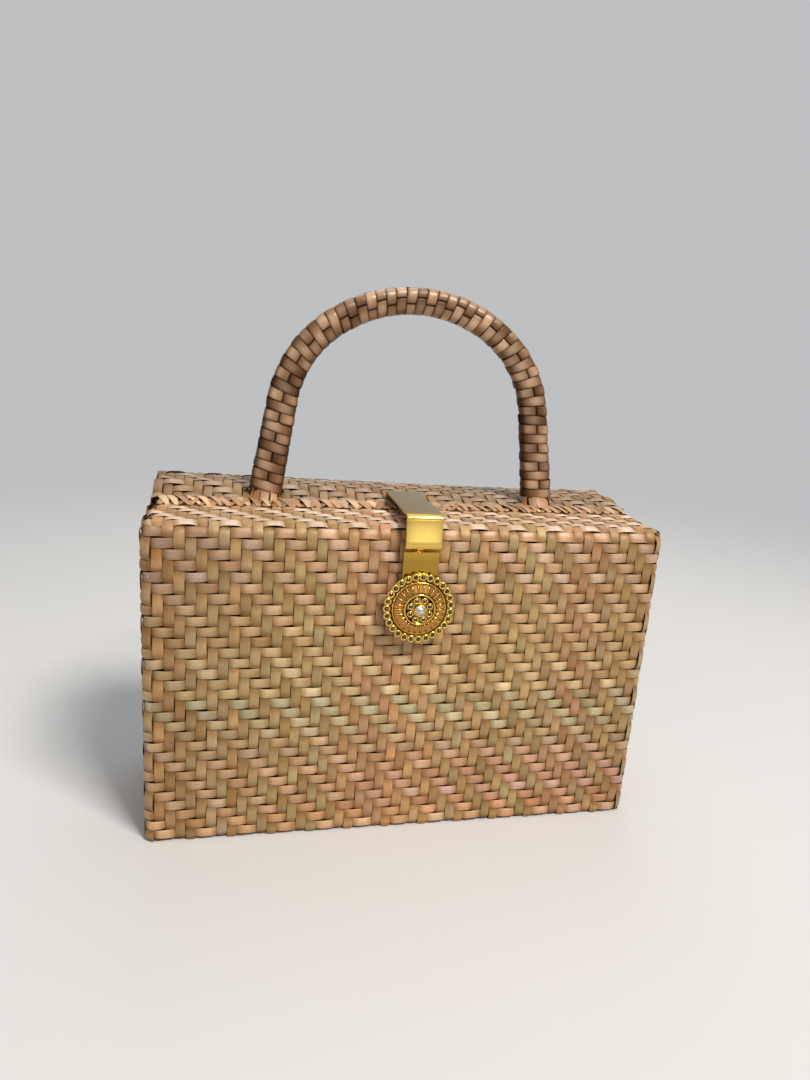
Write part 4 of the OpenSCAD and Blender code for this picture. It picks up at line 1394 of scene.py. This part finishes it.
def hingeBinding():
    # straw wound on the rod between the body's loops: a tube whose radius swells once for each turn of a
    # helix, with a flat web that joins it to the lid
    low, high = boxMm("hinge_sleeves")
    axisY, axisZ = high[1] - hinge["rod"], high[2] - hinge["rod"]
    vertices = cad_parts["hinge_loops"].data.vertices
    xs = np.empty(len(vertices) * 3, np.float32)
    vertices.foreach_get("co", xs)
    xs = np.unique(np.round(xs.reshape(-1, 3)[:, 0] * 1000, 1))
    cuts, gap = np.flatnonzero(np.diff(xs) > hinge["between"]), hinge["gap"]
    starts = np.concatenate([[low[0]], xs[cuts] + gap, [xs[-1] + gap]])
    stops = np.concatenate([[xs[0] - gap], xs[cuts + 1] - gap, [high[0]]])
    sides, webPoints = hinge["sides"], hinge["webPoints"]
    a = np.linspace(0, 2 * np.pi, sides, endpoint=False)[None, :]
    web = np.linspace(axisY - hinge["webFrom"], axisY - hinge["webTo"], webPoints)[None, :]
    groups = []
    for start, stop in zip(starts, stops):
        count = int((stop - start) / hinge["step"])
        x = np.linspace(start, stop, count)[:, None]
        turn = (x - start) / hinge["turn"] + a / (2 * np.pi)
        across = 2 * np.mod(turn, 1) - 1
        radius = hinge["radius"] + hinge["swell"] * (1 - across**4)
        points = xyz(x, axisY + radius * np.cos(a), axisZ + radius * np.sin(a))
        tone = 1 + 0.12 * np.sin(12.9898 * np.floor(turn) + start)
        # painted shade: each turn darker towards its edges, in the grooves between turns
        tint = straw["warpTan"] * (tone * (1 - 0.75 * across**6))[..., None]
        uv = np.stack([1.2 * turn, 0.23 * across], -1)
        quads = gridQuads(1, count, sides, closedAcross=True)
        groups.append((points.reshape(-1, 3), quads, tint.reshape(-1, 3), uv.reshape(-1, 2)))
        points = xyz(x, web, axisZ - 0.3)
        tint = np.broadcast_to(straw["warpTan"] * 0.7, points.shape)
        uv = np.stack(np.broadcast_arrays(0.1 * x, 0.3 * web), -1)
        quads = gridQuads(1, count, webPoints)
        groups.append((points.reshape(-1, 3), quads, tint.reshape(-1, 3), uv.reshape(-1, 2)))
    points, quads, tint, uv = joined(groups)
    piece = makeMesh("hingeBinding", points, quads, warpStraw, uv, tint)
    settle(piece, "lid", "straw_edge", "hinge_sleeves")


hingeBinding()

lining = {
    "corner": 5.0,
    "fillet": 3.0,
    "lap": 8.0,
    "inset": 0.4,
    "edgeRise": 1.2,
    "edgeFold": 1.1,
    "bulge": 0.5,
    "wrinkle": 0.22,
    "waves": ((9, 1.5, 0.4), (14, -2.3, 1.9), (23, 3.1, 4.2)),  # round the box, up the wall, phase
    "lean": 11 / 21,  # of the wrinkles, as a share
    "lidGrid": (150, 40),
    "lidSide": 0.3,
    "lidFront": 0.2,
    "lidBack": 1.0,
    "lidHang": 0.55,
    "hem": 4.0,
    "hemDrop": 0.3,
    "pucker": 0.1,
    "edgeTurn": 0.4,
    "stitch": 2.4,
    "stitchStep": 4.3,
    "stitchBow": 0.16,
    "threadHalf": 0.32,
    "threadCrown": 0.12,
}
cornerPoints, straightPoints = 6, 24
roundPoints = 4 * (cornerPoints - 1 + straightPoints)


def oblong(hx, hy, r):
    # rows of points round an oblong with rounded corners; hx, hy and r are given at every point
    c = cornerPoints
    angle = np.radians(np.concatenate([np.linspace(start, start + 90, c) for start in (-90, 0, 90, 180)]))
    signX, signY = np.repeat([1, 1, -1, -1], c), np.repeat([-1, 1, 1, -1], c)
    side = np.concatenate([np.arange(c - 1), c - 1 + np.arange(straightPoints) / straightPoints])
    at = np.concatenate([k * c + side for k in range(4)])
    low = np.floor(at).astype(int)
    high, f = (low + 1) % (4 * c), at - low
    x = [signX[k] * (hx - r) + r * np.cos(angle[k]) for k in (low, high)]
    y = [signY[k] * (hy - r) + r * np.sin(angle[k]) for k in (low, high)]
    return x[0] * (1 - f) + x[1] * f, y[0] * (1 - f) + y[1] * f


def bodyLining():
    # cloth bag in the card box: the bottom grows out from its middle line, turns up in a fillet, goes up
    # the walls with a slack bulge and soft wrinkles, and folds out over the card's edge; a flap goes on
    # under the ledge
    low, high = boxMm("body_lining")
    hx, hy = high[0] - lining["inset"], high[1] - lining["inset"]
    z0, fillet, edgeFold = low[2] + lining["inset"], lining["fillet"], lining["edgeFold"]
    wallTop = high[2] + lining["edgeRise"]
    arcAngle = np.radians(np.linspace(0, 90, 7))
    outAngle = arcAngle[1:]
    rise = np.linspace(0, 1, 22)[1:]
    inset = np.concatenate([
        np.linspace(hy, fillet, 9)[:-1],
        fillet * (1 - np.sin(arcAngle)),
        0 * rise,
        -edgeFold * (1 - np.cos(outAngle)) - 0.3 * np.sin(outAngle),
    ])
    z = np.concatenate([
        np.full(8, z0),
        z0 + fillet * (1 - np.cos(arcAngle)),
        z0 + fillet + rise * (wallTop - z0 - fillet),
        wallTop + edgeFold * np.sin(outAngle),
    ])
    slack = np.concatenate([np.zeros(8 + len(arcAngle)), np.sin(np.pi * rise), 0 * outAngle])[:, None]
    u = (np.arange(roundPoints) / roundPoints)[None, :]
    up = lining["lean"] * z[:, None] / wallTop
    folds = sum(np.sin(2 * np.pi * (n * u + m * up) + p) for n, m, p in lining["waves"])
    inset = inset[:, None] + slack * (lining["bulge"] + lining["wrinkle"] * folds)
    radius = np.clip(np.minimum(lining["corner"], hy - inset), 0, None)
    bag = xyz(*oblong(hx - inset, hy - inset, radius), z[:, None])
    mouth = frontEdge + lining["lap"]
    across = np.linspace(-hx, hx, 90)[:, None]
    back = np.linspace(-hy, mouth, 16)[None, :]
    uneven = 1 + 0.4 * np.sin(0.19 * across + 1.3) * np.sin(0.31 * back)
    sag = np.sin(np.pi * (back + hy) / (mouth + hy)) * uneven
    turnBack = mouth + 0.45 * np.sin(np.linspace(0.3, 2.9, 6))[None, :]
    turnUp = np.linspace(high[2] - 0.3, high[2] + 2.2, 6)[None, :]
    flap = np.concatenate([xyz(across, back, high[2] - 0.4 - 0.25 * sag), xyz(across, turnBack, turnUp)], 1)
    points, quads = joined([
        (bag.reshape(-1, 3), gridQuads(1, len(z), roundPoints, closedAcross=True, flip=True)),
        (flap.reshape(-1, 3), gridQuads(1, *flap.shape[:2])),
    ])
    piece = makeMesh("bodyLining", points, quads, liningCloth)
    settle(piece, "body", "lining", "body_lining")


def lidLining():
    # cloth under the lid: a flat panel with a thicker hem and soft puckers, sewn on by a row of stitches
    low, high = boxMm("lid_lining")
    x0, x1 = low[0] + lining["lidSide"], high[0] - lining["lidSide"]
    y0, y1 = low[1] + lining["lidFront"], high[1] - lining["lidBack"]
    columns, rows = lining["lidGrid"]
    x, y = np.linspace(x0, x1, columns)[:, None], np.linspace(y0, y1, rows)[None, :]
    edge = np.minimum(np.minimum(x - x0, x1 - x), np.minimum(y - y0, y1 - y))
    hem = 1 / (1 + np.exp(3 * (edge - lining["hem"])))
    pucker = np.sin(0.9 * x) * bell(edge, lining["hem"] + 2, 2.5) + np.sin(0.07 * x + 0.2 * y + 1.1)
    z = low[2] + lining["lidHang"] - lining["hemDrop"] * hem + lining["pucker"] * pucker
    z = z + lining["edgeTurn"] * np.exp(-edge / 0.25)
    piece = makeMesh("lidLining", xyz(x, y, z), gridQuads(1, columns, rows), liningCloth)
    settle(piece, "lid", "lining", "lid_lining")

    inset = 0.6 * lining["hem"]
    sx, sy = x1 - x0 - 2 * inset, y1 - y0 - 2 * inset
    along = np.arange(int(2 * (sx + sy) / lining["stitchStep"])) * lining["stitchStep"]
    corners = np.array([0, sx, sx + sy, 2 * sx + sy, 2 * (sx + sy)])
    t = np.linspace(0, 1, 5)[None, :]
    s = along[:, None] + lining["stitch"] * t
    px = x0 + inset + np.interp(s, corners, [0, sx, sx, 0, 0])
    py = y0 + inset + np.interp(s, corners, [0, 0, sy, sy, 0])
    bow = np.sin(np.pi * t)
    point = xyz(px, py, low[2] + 0.24 - lining["stitchBow"] * bow)
    normal = np.broadcast_to([0.0, 0.0, -1.0], point.shape)
    side = np.cross(normal, unit(np.gradient(point, axis=1)))
    half = np.broadcast_to(lining["threadHalf"] * (0.5 + 0.5 * bow), s.shape)
    points = ribbons(point, normal, side, half, lining["threadCrown"], 0 * s)
    threads = makeMesh("lidStitches", points, gridQuads(len(along), 5, stripPoints, flip=True), threadCloth)
    settle(threads, "lid", "lining")


rear = {
    "lidSamples": 160,
    "lidInset": 0.9,
    "lidUnder": 0.3,
    "lidCrown": 0.1,
    "lidTone": 0.75,
    "rimSamples": 200,
    "rimHalf": 1.85,
    "rimInset": 1.75,
    "rimBelow": 0.3,
    "rimWave": 0.06,
    "rimCrown": 0.35,
    "rimTone": 0.85,
}


def lidRear():
    # strip that binds the lid's rear edge in front of the hinge, standing on edge under the weave
    x = np.linspace(lidLow[0] + 2, lidHigh[0] - 2, rear["lidSamples"])[None, :]
    y = np.full_like(x, lidHigh[1] - rear["lidInset"])
    top, bottom = lidHeight(x, y) - rear["lidUnder"], lidLow[2] + binding["foot"]
    point = xyz(x, y, 0.5 * (top + bottom))
    normal = np.broadcast_to([0.0, 1.0, 0.0], point.shape)
    side = np.broadcast_to([0.0, 0.0, 1.0], point.shape)
    half = 0.5 * (top - bottom)
    points = ribbons(point, normal, side, half, rear["lidCrown"], 0 * x)
    quads = gridQuads(1, rear["lidSamples"], stripPoints)
    tint = straw["warpTan"] * rear["lidTone"]
    layRibbons("lidRear", points, half, x, tint, warpStraw, quads, ("lid", "straw"))


def rearRim():
    # flat strip that covers the strip ends on top of the back wall, under the hinge
    samples = rear["rimSamples"]
    x = np.linspace(-halfX + 1.5, halfX - 1.5, samples)[None, :]
    wave = wander(1, np.linspace(0, 1, samples), 1, 6, 30).clip(-1, 1)
    z = boxMm("hinge_sleeves")[0][2] - rear["rimBelow"] - rear["rimWave"] * (1 + wave)
    point = xyz(x, halfY - rear["rimInset"], z)
    normal = np.broadcast_to([0.0, 0.0, 1.0], point.shape)
    side = np.broadcast_to([0.0, 1.0, 0.0], point.shape)
    half = np.full_like(x, rear["rimHalf"])
    points = ribbons(point, normal, side, half, rear["rimCrown"], 0 * x)
    quads = gridQuads(1, samples, stripPoints, flip=True)
    tint = straw["warpTan"] * rear["rimTone"]
    layRibbons("rearRim", points, half, x, tint, warpStraw, quads, ("body", "straw_edge"))


bodyLining()
lidLining()
lidRear()
rearRim()
print("stage: linings and hinge made")

carried = {
    "inner_box": cardGrain,
    "hinge_loops": bindingGrain,
    "hinge_rod": caneGrain,
    "handle_core": caneGrain,
    "strap_rivets": goldMetal,
}
for node, material in carried.items():
    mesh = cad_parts[node].data
    mesh.materials.clear()
    mesh.materials.append(material)
print("stage: solids dressed")


def seenRays(tree):
    # 1 for rays from the camera and for those sent on by gloss or glass, 0 for the rest
    rays = tree.nodes.new("ShaderNodeLightPath").outputs
    seen = combined(tree, "MAXIMUM", rays["Is Camera Ray"], rays["Is Glossy Ray"])
    return combined(tree, "MAXIMUM", seen, rays["Is Transmission Ray"])


studio = {
    "paper": (0.52, 0.525, 0.535, 1),
    "floor": (0.66, 0.655, 0.645, 1),
    "sky": (0.9, 0.93, 1.0, 1),
    "skyStrength": 0.24,
    "fadeFrom": 0.35,  # metres from the middle at which the floor starts to turn into the paper
    "fadeTo": 1.3,
    "floorHalf": 4000,
}

floorMaterial, floorTree, floorShader = newMaterial("floorPaper")
feed(floorTree, floorShader, {"Base Color": studio["floor"], "Roughness": 0.9})
floorPlace = addNode(floorTree, "TexCoord", "Object")
floorFar = addNode(floorTree, "VectorMath", "Value", {0: floorPlace}, operation="LENGTH")
fading = {"Value": floorFar, "From Min": studio["fadeFrom"], "From Max": studio["fadeTo"]}
floorFade = addNode(floorTree, "MapRange", "Result", fading, interpolation_type="SMOOTHSTEP")
floorShare = combined(floorTree, "MULTIPLY", seenRays(floorTree), floorFade)
floorGlow = addNode(floorTree, "Emission", "Emission", {"Color": studio["paper"], "Strength": 1.0})
floorParts = {"Fac": floorShare, 1: floorShader.outputs["BSDF"], 2: floorGlow}
floorMix = addNode(floorTree, "MixShader", "Shader", floorParts)
feed(floorTree, floorTree.nodes["Material Output"], {"Surface": floorMix})
reach = studio["floorHalf"]
floorCorners = [(-reach, -reach, 0), (reach, -reach, 0), (reach, reach, 0), (-reach, reach, 0)]
floor = makeMesh("floor", floorCorners, [[0, 1, 2, 3]], floorMaterial)

world = bpy.data.worlds.new("studio")
bpy.context.scene.world = world
world.use_nodes = True
worldTree = world.node_tree
background = worldTree.nodes["Background"]
feed(worldTree, background, {"Color": studio["sky"], "Strength": studio["skyStrength"]})
paper = addNode(worldTree, "Background", "Background", {"Color": studio["paper"], "Strength": 1.0})
worldParts = {"Fac": seenRays(worldTree), 1: background.outputs["Background"], 2: paper}
worldMix = addNode(worldTree, "MixShader", "Shader", worldParts)
feed(worldTree, worldTree.nodes["World Output"], {"Surface": worldMix})


def areaLamp(name, position, target, size, power, colour):
    data = bpy.data.lights.new(name, "AREA")
    data.shape = "SQUARE"
    data.size = size
    data.energy = power
    data.color = colour
    lamp = bpy.data.objects.new(name, data)
    forward = unit(np.array(target, float) - np.array(position, float))
    right = unit(np.cross(forward, [0, 0, 1]))
    up = np.cross(right, forward)
    lamp.matrix_world = Matrix([*np.stack([right, up, -forward, position], 1).tolist(), [0, 0, 0, 1]])
    lamp.visible_camera = False
    bpy.context.scene.collection.objects.link(lamp)


areaLamp("keyLamp", (0.72, -1.25, 2.1), (0, 0, 0.1), 0.7, 60.0, (1.0, 0.95, 0.88))
areaLamp("backLamp", (0.2, 1.2, 1.6), (0, 0, 0.17), 0.9, 3.5, (0.9, 0.95, 1.0))
areaLamp("fillLamp", (-0.9, -0.6, 0.6), (0, 0, 0.1), 1.0, 1.6, (0.95, 0.97, 1.0))
areaLamp("topLamp", (0.1, 0.3, 1.3), (0, 0, 0.15), 0.9, 3.0, (1.0, 1.0, 1.0))
areaLamp("frontLamp", (0.37, -1.5, 0.25), (0, 0, 0.16), 0.6, 1.4, (1.0, 0.98, 0.94))

view = {
    "place": (-91.03, -402.73, 259.15),
    "turn": (0.26696, 0.04265, 0.21635),  # axis times angle, from a level look along +Y
    "focal": 781.0,  # in pixels of the photograph
    "photoWidth": 810.0,
    "sensor": 36.0,
}
camera = bpy.data.cameras.new("photoView")
camera.sensor_fit = "HORIZONTAL"
camera.sensor_width = view["sensor"]
camera.lens = view["focal"] * view["sensor"] / view["photoWidth"]
camera.clip_start = 0.01
cameraPiece = bpy.data.objects.new("photoView", camera)
turnAngle = np.linalg.norm(view["turn"])
spinX, spinY, spinZ = np.array(view["turn"]) / turnAngle
cross = np.array([[0, -spinZ, spinY], [spinZ, 0, -spinX], [-spinY, spinX, 0]])
rotation = np.eye(3) + math.sin(turnAngle) * cross + (1 - math.cos(turnAngle)) * cross @ cross
right, down, ahead = np.array([[1, 0, 0], [0, 0, -1], [0, 1, 0]]) @ rotation
place = np.array(view["place"]) * 0.001
cameraPiece.matrix_world = Matrix([*np.stack([right, -down, -ahead, place], 1).tolist(), [0, 0, 0, 1]])
bpy.context.scene.collection.objects.link(cameraPiece)
bpy.context.scene.camera = cameraPiece
bpy.context.scene.view_settings.view_transform = "Standard"
print("stage: light and camera set")
